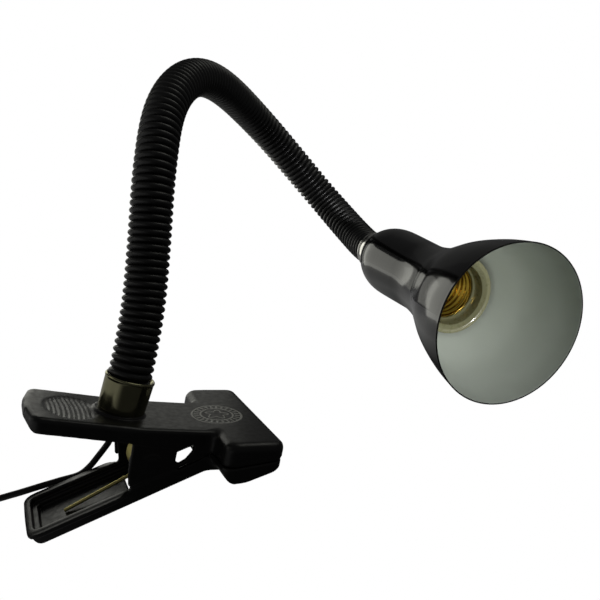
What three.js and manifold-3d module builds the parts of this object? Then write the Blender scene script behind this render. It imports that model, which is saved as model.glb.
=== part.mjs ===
// Clip-on reading lamp: a sprung T-nosed clamp, a bent gooseneck and a bell shade.
// Millimetres, +Z up. The clamp is laid out in its own frame: X from handles to nose,
// Z up from the flat top of its arm, the neck standing at X 0.
import * as THREE from 'three'
import { mergeVertices } from 'three/addons/utils/BufferGeometryUtils.js'
import Module from 'manifold-3d'

const wasm = await Module()
wasm.setup()

// clearances
const GAP = 0.3 // between curved or slanted faces
const RUN = 0.08 // radial play of the pin in its bores
const STEP = 0.5 // how far a cut runs past the face it opens

// where the part's own frame starts: the middle of the grip
const GRIP_X = 52
const GRIP_Z = -7.5

// clamp
const TILT = 4 // the handle's rise to the rear, degrees
const REAR_X = -41
const KNEE_X = 9
const SHOULDER_X = 40
const FRONT_X = 64.5
const FRONT_Z = -5 // the parting line at the front
const GRIP_SLOPE = 0.2 // the parting line's rise per mm forward
const ARM_HALF = 19.75
const NOSE_HALF = 38
const PLATE_T = 2.2
const CHEEK_OUT = 19.1
const CHEEK_IN = 16.6
const HOLLOW_HALF = 17.4
const PAD_T = 2.4
const PAD_HALF = 34
const PAD_BACK = 18
const PAD_FRONT = 3
const THUMB_DEPTH = 0.9
const THUMB_X = -21
const THUMB_LONG = 10
const THUMB_HALF = 14.5

// lower jaw: a tray that slopes down to the rear from the pin
const PIN_X = 13.5
const PIN_Z = -16
const PIN_R = 2
const PIN_HEAD_R = 3.4
const PIN_HEAD_T = 0.7
const TRAY_SLOPE = 27
const TRAY_REAR = 55.6
const TRAY_DEEP = 15.2
const TRAY_RIM = 8.8
const TRAY_HALF = 16.2
const FLANGE_HALF = 19.2
const FLANGE_FROM = 13.5
const TRAY_WALL = 2.2
const LUG_R = 7

// torsion spring
const WIRE_R = 0.68
const COIL_R = 4.7
const COIL_TURNS = 6
const COIL_LONG = 8.6
const COIL_FROM = -3.3

// ferrule and neck
const FERRULE_H = 15.2
const FERRULE_R = 10.6
const FERRULE_FLOOR = 3
const BOSS_H = 1.2
const SLEEVE_R = 9.75
const SLEEVE_BORE = 7.8
const CORE_R = 7.4
const CORE_BORE = 3.2
const BALL_R = 6.7
const CUT = 3.4 // how far each tube stops short of a joint
const NIPPLE_R = 4
const NIPPLE_BORE = 2.4
const NIPPLE_DEEP = 6
const JOINT_AT = [68, 122, 170, 224, 288]
const SLEEVE_FROM = 4.2
const CENTRE_LINE = [
  [0.14, 0, 2.6], [1.26, 0, 18.56], [4.7, 6, 46.3], [4.3, 11.8, 72.5], [3.1, 20.8, 109.9],
  [7.4, 37.2, 137.4], [23.1, 63.4, 156.4], [43.3, 85.2, 160.2], [83.3, 112.3, 146.1],
  [130.1, 108.1, 111.5], [144, 83, 93.3], [144.8, 56.9, 86.3],
]
const HEAD_AXIS = new THREE.Vector3(-0.0397, -0.9936, -0.1062).normalize()
const HEAD_AHEAD = 8

// head, measured along its axis from the back of the end ring
const RING_T = 5
const SHADE_WALL = 1.2
const SHADE_OUT = [
  [5, 12], [7, 12.9], [15, 15.5], [22, 17.5], [30, 18.9], [45, 18.2], [61, 17.8], [67, 18.3],
  [75, 19.6], [85, 21.9], [97, 26.9], [110, 31.5], [121, 34.2], [133, 36.1],
]
const HOLDER_FRONT = 90
const HOLDER_LONG = 46
const HOLDER_R = 15.6
const HOLDER_RIM_R = 19.4
const HOLDER_RIM_T = 6
const HOLDER_LIP = 2.2
const SHELL_R = 13.4
const SHELL_T = 0.5
const SHELL_LONG = 24
const LIP_INSET = 8 // how far the screw shell sits behind the holder's front
const SHELL_LIP = HOLDER_FRONT - LIP_INSET
const CONTACT_R = 4
const BRACKET_HALF = 11.5
const BRACKET_T = 1
const BRACKET_W = 9
const SCREW_R = 1.5

// cord set, lying at the level of the tray's heel
const CORD_R = 1.5
const FLOOR_Z = -53.75
const COIL_X = -90
const COIL_Y = 58
const HANK_IN = 12.5
const HANK_OUT = 21.5
const HANK_H = 12
const TIE_T = 0.8
const TIE_W = 5
const SWITCH_X = -57
const SWITCH_Y = 65
const SWITCH_LONG = 54
const SWITCH_WIDE = 19
const SWITCH_SPLIT = 6
const SWITCH_H = 12.5
const ROCKER_TILT = 8
const PLUG_TURN = -60
const PLUG_X = -94.2
const PLUG_Y = 31.3
const PLUG_LONG = 37
const PLUG_H = 13.7
const PLUG_PIN_R = 2
const PLUG_PIN_LONG = 19
const PLUG_PIN_APART = 19

const material = (color, roughness, metalness = 0) =>
  new THREE.MeshStandardMaterial({ color, roughness, metalness })
const BLACK = material(0x1b1b1c, 0.55)
const GLOSS = material(0x0d0d0e, 0.15)
const PAD = material(0x232323, 0.9)
const ZINC = material(0xb9a878, 0.35, 1)
const STEEL = material(0xb4b6b8, 0.3, 1)
const DARK_CHROME = material(0x55524e, 0.15, 1)
const SILVER = material(0xc9cacb, 0.2, 1)
const PORCELAIN = material(0xe8e2d2, 0.25)
const BRASS = material(0xb08d4a, 0.3, 1)
const CORD = material(0x161616, 0.6)
const WIRE_A = material(0x6b4428, 0.6)
const WIRE_B = material(0x2f5fa8, 0.6)

// A closed manifold from a geometry, turned to face out.
function solid(geometry) {
  const bare = geometry.clone()
  bare.deleteAttribute('normal')
  bare.deleteAttribute('uv')
  const merged = mergeVertices(bare, 1e-4)
  const p = merged.attributes.position.array
  const tri = []
  let volume = 0
  const index = merged.index.array
  for (let i = 0; i < index.length; i += 3) {
    const [a, b, c] = [index[i], index[i + 1], index[i + 2]]
    if (a === b || b === c || a === c) continue
    tri.push(a, b, c)
    const [A, B, C] = [a, b, c].map((k) => new THREE.Vector3().fromArray(p, 3 * k))
    volume += A.dot(B.cross(C))
  }
  if (volume < 0) for (let i = 0; i < tri.length; i += 3) [tri[i], tri[i + 1]] = [tri[i + 1], tri[i]]
  return new wasm.Manifold(
    new wasm.Mesh({ numProp: 3, vertProperties: new Float32Array(p), triVerts: new Uint32Array(tri) }))
}

function geometryOf(shape) {
  const mesh = shape.getMesh()
  const geometry = new THREE.BufferGeometry()
  geometry.setAttribute('position', new THREE.BufferAttribute(mesh.vertProperties.slice(), 3))
  geometry.setIndex(new THREE.BufferAttribute(mesh.triVerts.slice(), 1))
  geometry.computeVertexNormals()
  return geometry
}

const join = (...s) => s.reduce((a, b) => a.add(b))
const cut = (s, ...tools) => tools.reduce((a, b) => a.subtract(b), s)

// An outline through [x, y, corner radius] points.
function outline(points) {
  const out = []
  points.forEach(([x, y, r = 0], i) => {
    const p = new THREE.Vector2(x, y)
    const to = (k) => new THREE.Vector2(...points[(i + k + points.length) % points.length]).sub(p)
    const a = to(-1).normalize()
    const b = to(1).normalize()
    if (!r) return out.push(p)
    const half = Math.acos(THREE.MathUtils.clamp(a.dot(b), -1, 1)) / 2
    const start = p.clone().addScaledVector(a, r / Math.tan(half))
    const end = p.clone().addScaledVector(b, r / Math.tan(half))
    const centre = p.clone().addScaledVector(a.add(b).normalize(), r / Math.sin(half))
    const from = Math.atan2(start.y - centre.y, start.x - centre.x)
    let sweep = Math.atan2(end.y - centre.y, end.x - centre.x) - from
    sweep -= 2 * Math.PI * Math.round(sweep / (2 * Math.PI))
    for (let k = 0; k <= 4; k++) {
      const g = from + (sweep * k) / 4
      out.push(new THREE.Vector2(centre.x + r * Math.cos(g), centre.y + r * Math.sin(g)))
    }
  })
  return out
}

// Extrusions of an outline: up Z, or along Y from an outline in X and Z.
const upZ = (points, z0, z1) =>
  new THREE.ExtrudeGeometry(new THREE.Shape(outline(points)), { depth: z1 - z0, bevelEnabled: false })
    .translate(0, 0, z0)
const alongY = (points, y0, y1) =>
  new THREE.ExtrudeGeometry(new THREE.Shape(outline(points)), { depth: y1 - y0, bevelEnabled: false })
    .rotateX(Math.PI / 2).translate(0, y1, 0)
const rect = (x0, x1, y0, y1, r = 0) => [[x0, y0, r], [x1, y0, r], [x1, y1, r], [x0, y1, r]]
const ring = (r, n) =>
  Array.from({ length: n }, (_, i) => [r * Math.cos((2 * Math.PI * i) / n), r * Math.sin((2 * Math.PI * i) / n)])

// A turned piece about Z from [radius, height] points.
const lathe = (points, segments = 20) =>
  new THREE.LatheGeometry(points.map(([r, z]) => new THREE.Vector2(r, z)), segments).rotateX(Math.PI / 2)
const rod = (r, z0, z1, segments = 20) => lathe([[0, z0], [r, z0], [r, z1], [0, z1]], segments)
const tube = (r, bore, z0, z1, segments = 20) =>
  lathe([[bore, z0], [r, z0], [r, z1], [bore, z1], [bore, z0]], segments)
const rodY = (r, y0, y1, x, z, segments = 24) => rod(r, y0, y1, segments).rotateX(-Math.PI / 2).translate(x, 0, z)

// A round bar, or a tube if it has a bore, along a curve.
function sweep(curve, r, sides, steps, bore = 0) {
  const path = { curve, steps }
  const shape = new THREE.Shape(ring(r, sides).map((p) => new THREE.Vector2(...p)))
  if (bore) shape.holes.push(new THREE.Path(ring(bore, sides).map((p) => new THREE.Vector2(...p))))
  return new THREE.ExtrudeGeometry(shape, { steps: path.steps, extrudePath: path.curve, bevelEnabled: false })
}
const curveOf = (points) => new THREE.CatmullRomCurve3(points.map((p) => new THREE.Vector3(...p)))

// Part of a curve, between two distances along it.
class Stretch extends THREE.Curve {
  constructor(whole, from, to) {
    super()
    Object.assign(this, { whole, from, to })
  }

  getPoint(t, target = new THREE.Vector3()) {
    const s = this.from + (this.to - this.from) * t
    return this.whole.getPointAt(s / this.whole.getLength(), target)
  }
}

const lamp = new THREE.Group()
lamp.name = 'clip_on_reading_lamp'
const clamp = new THREE.Group()
clamp.position.set(-GRIP_X, 0, -GRIP_Z)
lamp.add(clamp)

function put(parent, name, shape, look) {
  const mesh = new THREE.Mesh(geometryOf(shape.isBufferGeometry ? solid(shape) : shape), look)
  mesh.name = name
  parent.add(mesh)
}

// ---- upper jaw: handle, arm and wide nose in one moulding
const rise = Math.tan(THREE.MathUtils.degToRad(TILT))
const topZ = (x) => Math.max(0, (KNEE_X - x) * rise)
const partZ = (x) => FRONT_Z + (x - FRONT_X) * GRIP_SLOPE
const upperFace = (x) => partZ(x) + GAP / 2
const lowerFace = (x) => partZ(x) - GAP / 2

const armTop = alongY([
  [REAR_X, topZ(REAR_X), 2.5], [KNEE_X, 0], [SHOULDER_X + 3, 0], [SHOULDER_X + 3, upperFace(SHOULDER_X + 3)],
  [SHOULDER_X, upperFace(SHOULDER_X)], [-6, -6.3, 6], [-19.4, -5], [-32.9, -3.7, 4], [REAR_X, -0.7],
], -ARM_HALF, ARM_HALF)
const armPlan = upZ([
  [REAR_X, -7, 14], [REAR_X + 3, -ARM_HALF, 6], [SHOULDER_X + 5, -ARM_HALF], [SHOULDER_X + 5, ARM_HALF],
  [REAR_X + 3, ARM_HALF, 6], [REAR_X, 7, 14],
], -60, 20)
const cheeks = alongY([
  [3.3, -PLATE_T - 1], [3.3, -5.5], [5.3, -26.2, 3], [35.5, -12.4], [SHOULDER_X - 0.3, upperFace(SHOULDER_X)],
  [SHOULDER_X + 2, upperFace(SHOULDER_X + 2)],
  [SHOULDER_X + 2, -PLATE_T - 1],
], -CHEEK_OUT, CHEEK_OUT)
const noseSide = alongY([
  [SHOULDER_X, 0, 1.5], [50, 0.4], [58, 1.6], [FRONT_X, 2, 3], [FRONT_X, upperFace(FRONT_X)],
  [SHOULDER_X, upperFace(SHOULDER_X), 1.5],
], -NOSE_HALF, NOSE_HALF)
const nosePlan = upZ(rect(SHOULDER_X, FRONT_X, -NOSE_HALF, NOSE_HALF, 5), -60, 20)
const handleHollow = alongY([
  [REAR_X + 2.4, topZ(REAR_X + 2.4) - PLATE_T], [KNEE_X, -PLATE_T], [KNEE_X, -40], [REAR_X + 2.4, -40],
], -HOLLOW_HALF, HOLLOW_HALF)
const hollowPlan = upZ([
  [REAR_X + 2.4, -HOLLOW_HALF, 8], [1, -HOLLOW_HALF], [1, HOLLOW_HALF], [REAR_X + 2.4, HOLLOW_HALF, 8],
], -60, 20)
const armHollow = alongY([
  [1 - STEP, topZ(1 - STEP) - PLATE_T], [KNEE_X, -PLATE_T], [SHOULDER_X - 2, -PLATE_T], [SHOULDER_X - 2, -40],
  [1 - STEP, -40],
], -CHEEK_IN, CHEEK_IN)
const windows = alongY([
  [22.8, -9, 1], [30, -5.5, 1.2], [31.8, -6, 0.8], [31.8, -10.5, 1.2], [29.5, -15, 1.2], [25, -16, 1], [23, -15.5, 0.8],
], -ARM_HALF - STEP, ARM_HALF + STEP)
const onHandle = (geometry) => geometry.rotateY(THREE.MathUtils.degToRad(TILT)).translate(0, 0, topZ(0))
const onGrip = (geometry) => geometry.rotateY(-Math.atan(GRIP_SLOPE)).translate(FRONT_X, 0, FRONT_Z)
const pocket = (z0, z1) =>
  onGrip(upZ(rect(-PAD_BACK - GAP, -PAD_FRONT + GAP, -PAD_HALF - GAP, PAD_HALF + GAP, 3), z0, z1))
const thumb = onHandle(
  upZ(ring(1, 28).map(([x, y]) => [x * THUMB_LONG, y * THUMB_HALF]), -THUMB_DEPTH, 5).translate(THUMB_X, 0, 0))
const ridges = Array.from({ length: 9 }, (_, i) =>
  onHandle(upZ(rect(-0.45, 0.45, -THUMB_HALF, THUMB_HALF), -THUMB_DEPTH - STEP, -0.15)
    .rotateZ(-0.25).translate(THUMB_X + (i - 4) * 2, 0, 0)))
const thumbCut = cut(solid(thumb), ...ridges.map(solid))
const BUSH_X = -1
const BUSH_Y = 12.2
const BUSH_R = 3
let upper = solid(armTop).intersect(solid(armPlan))
upper = join(upper, solid(cheeks), solid(noseSide).intersect(solid(nosePlan)))
upper = cut(upper, solid(handleHollow).intersect(solid(hollowPlan)), solid(armHollow), solid(windows))
upper = join(upper, solid(onHandle(rod(FERRULE_R + 0.7, -STEP, BOSS_H, 32))))
upper = cut(upper, thumbCut, solid(pocket(-STEP, PAD_T + GAP * 1.5)),
  solid(onHandle(rod(NIPPLE_R + GAP, -10, 10))),
  solid(rodY(PIN_R + RUN, -30, 30, PIN_X, PIN_Z)))
put(clamp, 'upper_jaw', upper, BLACK)

const grip = new THREE.Group()
grip.position.set(FRONT_X, 0, FRONT_Z)
grip.rotation.y = -Math.atan(GRIP_SLOPE)
clamp.add(grip)
const padOutline = rect(-PAD_BACK, -PAD_FRONT, -PAD_HALF, PAD_HALF, 2.7)
put(grip, 'upper_grip_pad', upZ(padOutline, GAP / 2, GAP / 2 + PAD_T), PAD)
put(grip, 'lower_grip_pad', upZ(padOutline, -GAP / 2 - PAD_T, -GAP / 2), PAD)

// ---- lower jaw: tray handle, lugs on the pin and a matching nose
const slope = THREE.MathUtils.degToRad(TRAY_SLOPE)
const tray = (u, v, r = 0) => [
  PIN_X - u * Math.cos(slope) - v * Math.sin(slope), PIN_Z - u * Math.sin(slope) + v * Math.cos(slope), r]
const trayForward = 22
const traySide = alongY([
  tray(TRAY_REAR, -TRAY_DEEP, 4), tray(-37, -TRAY_DEEP), [SHOULDER_X + 8, lowerFace(SHOULDER_X + 8) - 1],
  [SHOULDER_X + 2, lowerFace(SHOULDER_X + 2)], [SHOULDER_X + 0.5, lowerFace(SHOULDER_X)],
  tray(-trayForward, -TRAY_RIM, 1), tray(TRAY_REAR, -TRAY_RIM, 1.5),
], -TRAY_HALF, TRAY_HALF)
const trayPlan = upZ([
  [-60, -TRAY_HALF], [SHOULDER_X + 9, -TRAY_HALF], [SHOULDER_X + 9, TRAY_HALF], [-60, TRAY_HALF],
], -80, 20)
const lug = alongY([
  tray(-LUG_R - 3, -TRAY_RIM - 1), tray(-LUG_R, 0, 3), tray(-LUG_R, LUG_R, 6.5), tray(LUG_R, LUG_R, 6.5), tray(LUG_R, 0, 3),
  tray(LUG_R + 3, -TRAY_RIM - 1),
], -TRAY_HALF, TRAY_HALF)
const lowerNose = alongY([
  [SHOULDER_X, lowerFace(SHOULDER_X), 1.2], [SHOULDER_X, -13, 2], [46, -16.6, 3], [54.6, -14.2, 8], [FRONT_X, -9.4, 1.5],
  [FRONT_X, lowerFace(FRONT_X)],
], -NOSE_HALF, NOSE_HALF)
const trayHollow = alongY([
  tray(TRAY_REAR - TRAY_WALL, -TRAY_DEEP + 2, 2), tray(-trayForward + 2, -TRAY_DEEP + 2), tray(-trayForward + 2, 30),
  tray(TRAY_REAR - TRAY_WALL, 30),
], -TRAY_HALF + TRAY_WALL, TRAY_HALF - TRAY_WALL)
const floorSlot = (u0, u1, half) =>
  upZ(rect(-u1, -u0, -half, half, 2), -TRAY_DEEP - STEP, -TRAY_DEEP + 2 + STEP)
    .rotateY(-slope).translate(PIN_X, 0, PIN_Z)
const flange = upZ(rect(-TRAY_REAR - 0.8, -FLANGE_FROM, -FLANGE_HALF, FLANGE_HALF, 5), -TRAY_RIM - 1.7, -TRAY_RIM + 0.1)
  .rotateY(-slope).translate(PIN_X, 0, PIN_Z)
let lower = join(solid(traySide).intersect(solid(trayPlan)), solid(flange), solid(lug),
  solid(lowerNose).intersect(solid(nosePlan)))
lower = cut(lower, solid(trayHollow), solid(floorSlot(-23, -6, 11.5)), solid(floorSlot(4, 12, 8)),
  solid(pocket(-PAD_T - GAP * 1.5, STEP)), solid(rodY(PIN_R + RUN, -30, 30, PIN_X, PIN_Z)))
put(clamp, 'lower_jaw', lower, BLACK)

// ---- pin with its retaining washer
const headZ = CHEEK_OUT + GAP / 3
const pinEnd = headZ + PIN_HEAD_T + 0.6
put(clamp, 'pivot_pin', join(solid(rodY(PIN_R, -headZ - STEP, pinEnd, PIN_X, PIN_Z)),
  solid(rodY(PIN_HEAD_R, -headZ - PIN_HEAD_T, -headZ, PIN_X, PIN_Z))), BLACK)
put(clamp, 'pin_retainer', solid(tube(PIN_HEAD_R, PIN_R + RUN, headZ, headZ + PIN_HEAD_T)
  .rotateX(-Math.PI / 2).translate(PIN_X, 0, PIN_Z)), STEEL)

// ---- torsion spring: coil round the pin, one leg on the tray floor, one under the plate
const legEnd = tray(40.5, -TRAY_DEEP + 2 + WIRE_R + GAP)
const plateEnd = [-15, topZ(-15) - PLATE_T - WIRE_R - GAP]
const touch = ([x, z], side) => {
  const reach = Math.hypot(x - PIN_X, z - PIN_Z)
  return Math.atan2(z - PIN_Z, x - PIN_X) + side * Math.acos(COIL_R / reach)
}
const wireFrom = touch(legEnd, 1)
const wireTo = touch([6, -9.3], -1)
const turnsAngle = -2 * Math.PI * (COIL_TURNS - 1) - ((wireFrom - wireTo + 4 * Math.PI) % (2 * Math.PI))
const wire = [[legEnd[0], -2, legEnd[1]]]
const foot = [PIN_X + COIL_R * Math.cos(wireFrom), PIN_Z + COIL_R * Math.sin(wireFrom)]
for (const k of [0.35, 0.7, 0.9]) {
  wire.push([legEnd[0] + (foot[0] - legEnd[0]) * k, -2 + (COIL_FROM + 2) * k, legEnd[1] + (foot[1] - legEnd[1]) * k])
}
const perTurn = 12
const coilSteps = Math.round((Math.abs(turnsAngle) / (2 * Math.PI)) * perTurn)
for (let i = 0; i <= coilSteps; i++) {
  const a = wireFrom + (turnsAngle * i) / coilSteps
  wire.push([PIN_X + COIL_R * Math.cos(a), COIL_FROM - (COIL_LONG * i) / coilSteps, PIN_Z + COIL_R * Math.sin(a)])
}
wire.push([6, -12.3, -9.3], [-4, -12.4, -5.6], [plateEnd[0], -12.4, plateEnd[1]])
put(clamp, 'torsion_spring', sweep(curveOf(wire), WIRE_R, 6, coilSteps + 26), ZINC)

// ---- ferrule and what fastens it, square to the tilted handle
const foothold = new THREE.Group()
foothold.position.set(0, 0, topZ(0))
foothold.rotation.y = THREE.MathUtils.degToRad(TILT)
clamp.add(foothold)
const ferruleFoot = BOSS_H + GAP / 3
put(foothold, 'ferrule', lathe([
  [NIPPLE_R + GAP, ferruleFoot], [9.9, ferruleFoot], [10.2, ferruleFoot + 1], [FERRULE_R, ferruleFoot + 9],
  [FERRULE_R, ferruleFoot + FERRULE_H - 1.4], [FERRULE_R + 0.4, ferruleFoot + FERRULE_H - 0.9],
  [FERRULE_R + 0.3, ferruleFoot + FERRULE_H - 0.2], [FERRULE_R, ferruleFoot + FERRULE_H],
  [SLEEVE_R + GAP, ferruleFoot + FERRULE_H], [SLEEVE_R + GAP, ferruleFoot + FERRULE_FLOOR],
  [NIPPLE_R + GAP, ferruleFoot + FERRULE_FLOOR], [NIPPLE_R + GAP, ferruleFoot],
], 32), DARK_CHROME)
const underside = -PLATE_T - GAP / 2
put(foothold, 'base_washer', tube(8.4, NIPPLE_R + GAP, underside - 0.9, underside), STEEL)
const hexNut = (af, bore, z0, z1) =>
  cut(solid(upZ(ring(af / Math.sqrt(3), 6), z0, z1)), solid(rod(bore, z0 - STEP, z1 + STEP)))
put(foothold, 'base_nut', hexNut(13, NIPPLE_R + GAP, underside - 4.1, underside - 1.2), STEEL)
const coreFoot = ferruleFoot + FERRULE_FLOOR + GAP
put(foothold, 'neck_base_nipple',
  tube(NIPPLE_R, NIPPLE_BORE, underside - 6, coreFoot + NIPPLE_DEEP), STEEL)
put(clamp, 'cord_outlet_bush', tube(BUSH_R, CORD_R + GAP, -7.6, topZ(BUSH_X + BUSH_R) - PLATE_T - GAP / 2, 24)
  .translate(BUSH_X, BUSH_Y, 0), BLACK)

// ---- gooseneck: sleeves over cores that end in a ball and a cup at each joint
const ringBack = new THREE.Vector3(...CENTRE_LINE[CENTRE_LINE.length - 1])
const onAxis = (d) => ringBack.clone().addScaledVector(HEAD_AXIS, d).toArray()
const centreLine = curveOf([...CENTRE_LINE.slice(0, -1), onAxis(-HEAD_AHEAD), onAxis(0), onAxis(HEAD_AHEAD)])
centreLine.arcLengthDivisions = 2000
const whole = centreLine.getLength()
const at = (s) => centreLine.getPointAt(s / whole)
const along = (s) => centreLine.getTangentAt(s / whole)
const neckEnd = whole - HEAD_AHEAD - GAP
const turnTo = (axis) => new THREE.Quaternion().setFromUnitVectors(new THREE.Vector3(0, 0, 1), axis)
const placeAt = (geometry, s) => geometry.applyQuaternion(turnTo(along(s))).translate(...at(s).toArray())
const bounds = [SLEEVE_FROM, ...JOINT_AT, neckEnd]
for (let k = 0; k < bounds.length - 1; k++) {
  const from = bounds[k] + (k ? CUT : 0)
  const to = bounds[k + 1] - (k < JOINT_AT.length ? CUT : 0)
  const steps = Math.round((to - from) / 9)
  const stretch = new Stretch(centreLine, from, to)
  put(clamp, `neck_sleeve_${k + 1}`, sweep(stretch, SLEEVE_R, 18, steps, SLEEVE_BORE), BLACK)
  let core = solid(sweep(stretch, CORE_R, 10, steps, CORE_BORE))
  if (k < JOINT_AT.length) {
    const ball = new THREE.SphereGeometry(BALL_R, 10, 7)
    const stem = rod(BALL_R * 0.8, -CUT - 1.5, 0, 12)
    const bore = rod(CORE_BORE, -BALL_R - 1, BALL_R + 1, 12)
    core = join(core, cut(join(solid(placeAt(ball, bounds[k + 1])), solid(placeAt(stem, bounds[k + 1]))),
      solid(placeAt(bore, bounds[k + 1]))))
  }
  if (k) core = cut(core, solid(placeAt(new THREE.SphereGeometry(BALL_R + 2 * GAP, 10, 7), bounds[k])))
  if (!k) core = cut(core, solid(placeAt(rod(NIPPLE_R + GAP, -2, NIPPLE_DEEP + 1.5), from)))
  if (k === JOINT_AT.length) core = cut(core, solid(placeAt(rod(NIPPLE_R + GAP, -NIPPLE_DEEP - 1, 2), to)))
  put(clamp, `neck_core_${k + 1}`, core, STEEL)
}

// ---- head: end ring, shade and lampholder along the head's own axis
const head = new THREE.Group()
head.position.copy(ringBack)
head.quaternion.copy(turnTo(HEAD_AXIS))
clamp.add(head)
put(head, 'end_ring', lathe([
  [NIPPLE_R + GAP, 0], [10.7, 0], [10.9, 0.4], [11.3, RING_T - 0.5], [11.1, RING_T - GAP / 2],
  [NIPPLE_R + GAP, RING_T - GAP / 2], [NIPPLE_R + GAP, 0],
], 28), SILVER)
const shadeIn = SHADE_OUT.slice(1).map(([z, r]) => [r - SHADE_WALL, z])
const floorZ = SHADE_OUT[1][0]
put(head, 'shade', lathe([
  [NIPPLE_R + GAP, SHADE_OUT[0][0]], ...SHADE_OUT.map(([z, r]) => [r, z]), ...shadeIn.reverse(),
  [NIPPLE_R + GAP, floorZ], [NIPPLE_R + GAP, SHADE_OUT[0][0]],
], 32), GLOSS)
const nutFrom = floorZ + GAP / 2
put(head, 'shade_lock_nut', hexNut(12, NIPPLE_R + GAP, nutFrom, nutFrom + 3), STEEL)
const bracketFrom = nutFrom + 3 + GAP / 2
const holderRear = HOLDER_FRONT - HOLDER_LONG
put(head, 'neck_end_nipple', tube(NIPPLE_R, NIPPLE_BORE, -NIPPLE_DEEP, bracketFrom + BRACKET_T + 6), STEEL)
const lockFrom = bracketFrom + BRACKET_T + GAP / 2
put(head, 'bracket_lock_nut', hexNut(12, NIPPLE_R + GAP, lockFrom, lockFrom + 2.5), STEEL)
const bracketTo = holderRear - GAP / 2
const bracketSide = alongY([
  [-BRACKET_HALF, bracketFrom, 1], [BRACKET_HALF, bracketFrom, 1], [BRACKET_HALF, bracketTo, 1],
  [BRACKET_HALF - 8, bracketTo], [BRACKET_HALF - 8, bracketTo - BRACKET_T], [BRACKET_HALF - BRACKET_T, bracketTo - BRACKET_T],
  [BRACKET_HALF - BRACKET_T, bracketFrom + BRACKET_T], [-BRACKET_HALF + BRACKET_T, bracketFrom + BRACKET_T],
  [-BRACKET_HALF + BRACKET_T, bracketTo - BRACKET_T], [-BRACKET_HALF + 8, bracketTo - BRACKET_T],
  [-BRACKET_HALF + 8, bracketTo], [-BRACKET_HALF, bracketTo, 1],
], -BRACKET_W / 2, BRACKET_W / 2)
const screwX = BRACKET_HALF - 4.2
const holes = [screwX, -screwX].map((x) => solid(rod(SCREW_R + GAP, -STEP, 8, 16).translate(x, 0, bracketTo - BRACKET_T)))
put(head, 'holder_bracket', cut(solid(bracketSide), solid(rod(NIPPLE_R + GAP, 0, 20)), ...holes), STEEL)
const screw = (r, headR, long) =>
  join(solid(rod(r, -STEP, long, 16)), solid(rod(headR, -1.6, 0, 16)))
for (const [i, x] of [screwX, -screwX].entries()) {
  put(head, `bracket_screw_${i + 1}`,
    screw(SCREW_R, 2.6, 6.5).translate([x, 0, bracketTo - BRACKET_T - GAP / 2]), STEEL)
}
const rimBack = HOLDER_FRONT - HOLDER_RIM_T
const shellBore = SHELL_R + GAP
const shellBack = SHELL_LIP - SHELL_LONG
let holder = solid(lathe([
  [0, holderRear], [HOLDER_R - 1, holderRear], [HOLDER_R, holderRear + 1.5], [HOLDER_R, rimBack],
  [HOLDER_RIM_R - 0.6, rimBack + 0.6], [HOLDER_RIM_R, rimBack + 2], [HOLDER_RIM_R, HOLDER_FRONT - 0.5],
  [HOLDER_RIM_R - 0.5, HOLDER_FRONT], [HOLDER_RIM_R - HOLDER_LIP, HOLDER_FRONT],
  [shellBore + 1.4, SHELL_LIP + 1.5], [shellBore, SHELL_LIP], [shellBore, shellBack - 1.5], [0, shellBack - 1.5],
], 32))
const termY = 9
const screwHoles = [termY, -termY].map((y) => solid(rod(SCREW_R + GAP, -1, 7, 16).translate(0, y, holderRear)))
holder = cut(holder, ...holes, ...screwHoles)
put(head, 'lampholder_body', holder, PORCELAIN)
for (const [i, y] of [termY, -termY].entries()) {
  put(head, `terminal_screw_${i + 1}`, screw(SCREW_R, 2.8, 5.5).translate([0, y, holderRear - GAP / 2]), BRASS)
}
const wave = []
for (let i = 0; i <= 12; i++) {
  wave.push([SHELL_R - 0.45 - 0.35 * Math.cos(Math.PI * i), shellBack + ((SHELL_LONG - 2) * i) / 12])
}
const thread = [...wave, [SHELL_R, SHELL_LIP]]
put(head, 'thread_shell', lathe([
  ...thread, ...thread.map(([r, z]) => [r - SHELL_T, z]).reverse(), thread[0],
], 20), BRASS)
const contactZ = shellBack - 1.5 + GAP / 2
put(head, 'centre_contact', lathe([
  [0, contactZ], [CONTACT_R + 1, contactZ], [CONTACT_R + 1, contactZ + 0.6], [CONTACT_R - 1, contactZ + 1.8], [0, contactZ + 2.4],
], 20), BRASS)
const lead = (y) => curveOf([[0, y * 0.12, lockFrom + 5.6], [0, y * 0.3, lockFrom + 11], [0, y * 0.75, holderRear - 9],
  [0, y, holderRear - 1.6 - GAP * 2]])
put(head, 'live_lead', sweep(lead(termY), 0.9, 8, 10), WIRE_A)
put(head, 'neutral_lead', sweep(lead(-termY), 0.9, 8, 10), WIRE_B)

// ---- cord set
const cordZ = FLOOR_Z + CORD_R + 0.1
const switchBack = SWITCH_Y - SWITCH_LONG / 2
const cordBar = (points) => {
  const curve = curveOf(points)
  return sweep(curve, CORD_R, 8, Math.ceil(curve.getLength() / 5))
}
put(clamp, 'cord_lamp_run', cordBar([
  [BUSH_X, BUSH_Y, -4], [BUSH_X, BUSH_Y, -8], [0.2, 14.5, -13], [1.9, 18.5, -18.5], [2.1, 20.9, -22.3], [1.2, 21.2, -24.4],
  [-1.7, 21.1, -29.5], [-5, 21.1, -34.9], [-8.8, 21.1, -38.7], [-17.9, 21.1, -42], [-26.4, 21.1, -45], [-37, 21.3, -48.9],
  [-46, 22.2, cordZ + 0.3], [-53, 25.7, cordZ],
  [SWITCH_X, 32, cordZ + 3.2], [SWITCH_X, switchBack - 3, FLOOR_Z + SWITCH_SPLIT], [SWITCH_X, switchBack - GAP, FLOOR_Z + SWITCH_SPLIT],
]), CORD)
const hankZ = FLOOR_Z + TIE_T + GAP + 0.1
const hankIn = HANK_OUT - CORD_R
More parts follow.
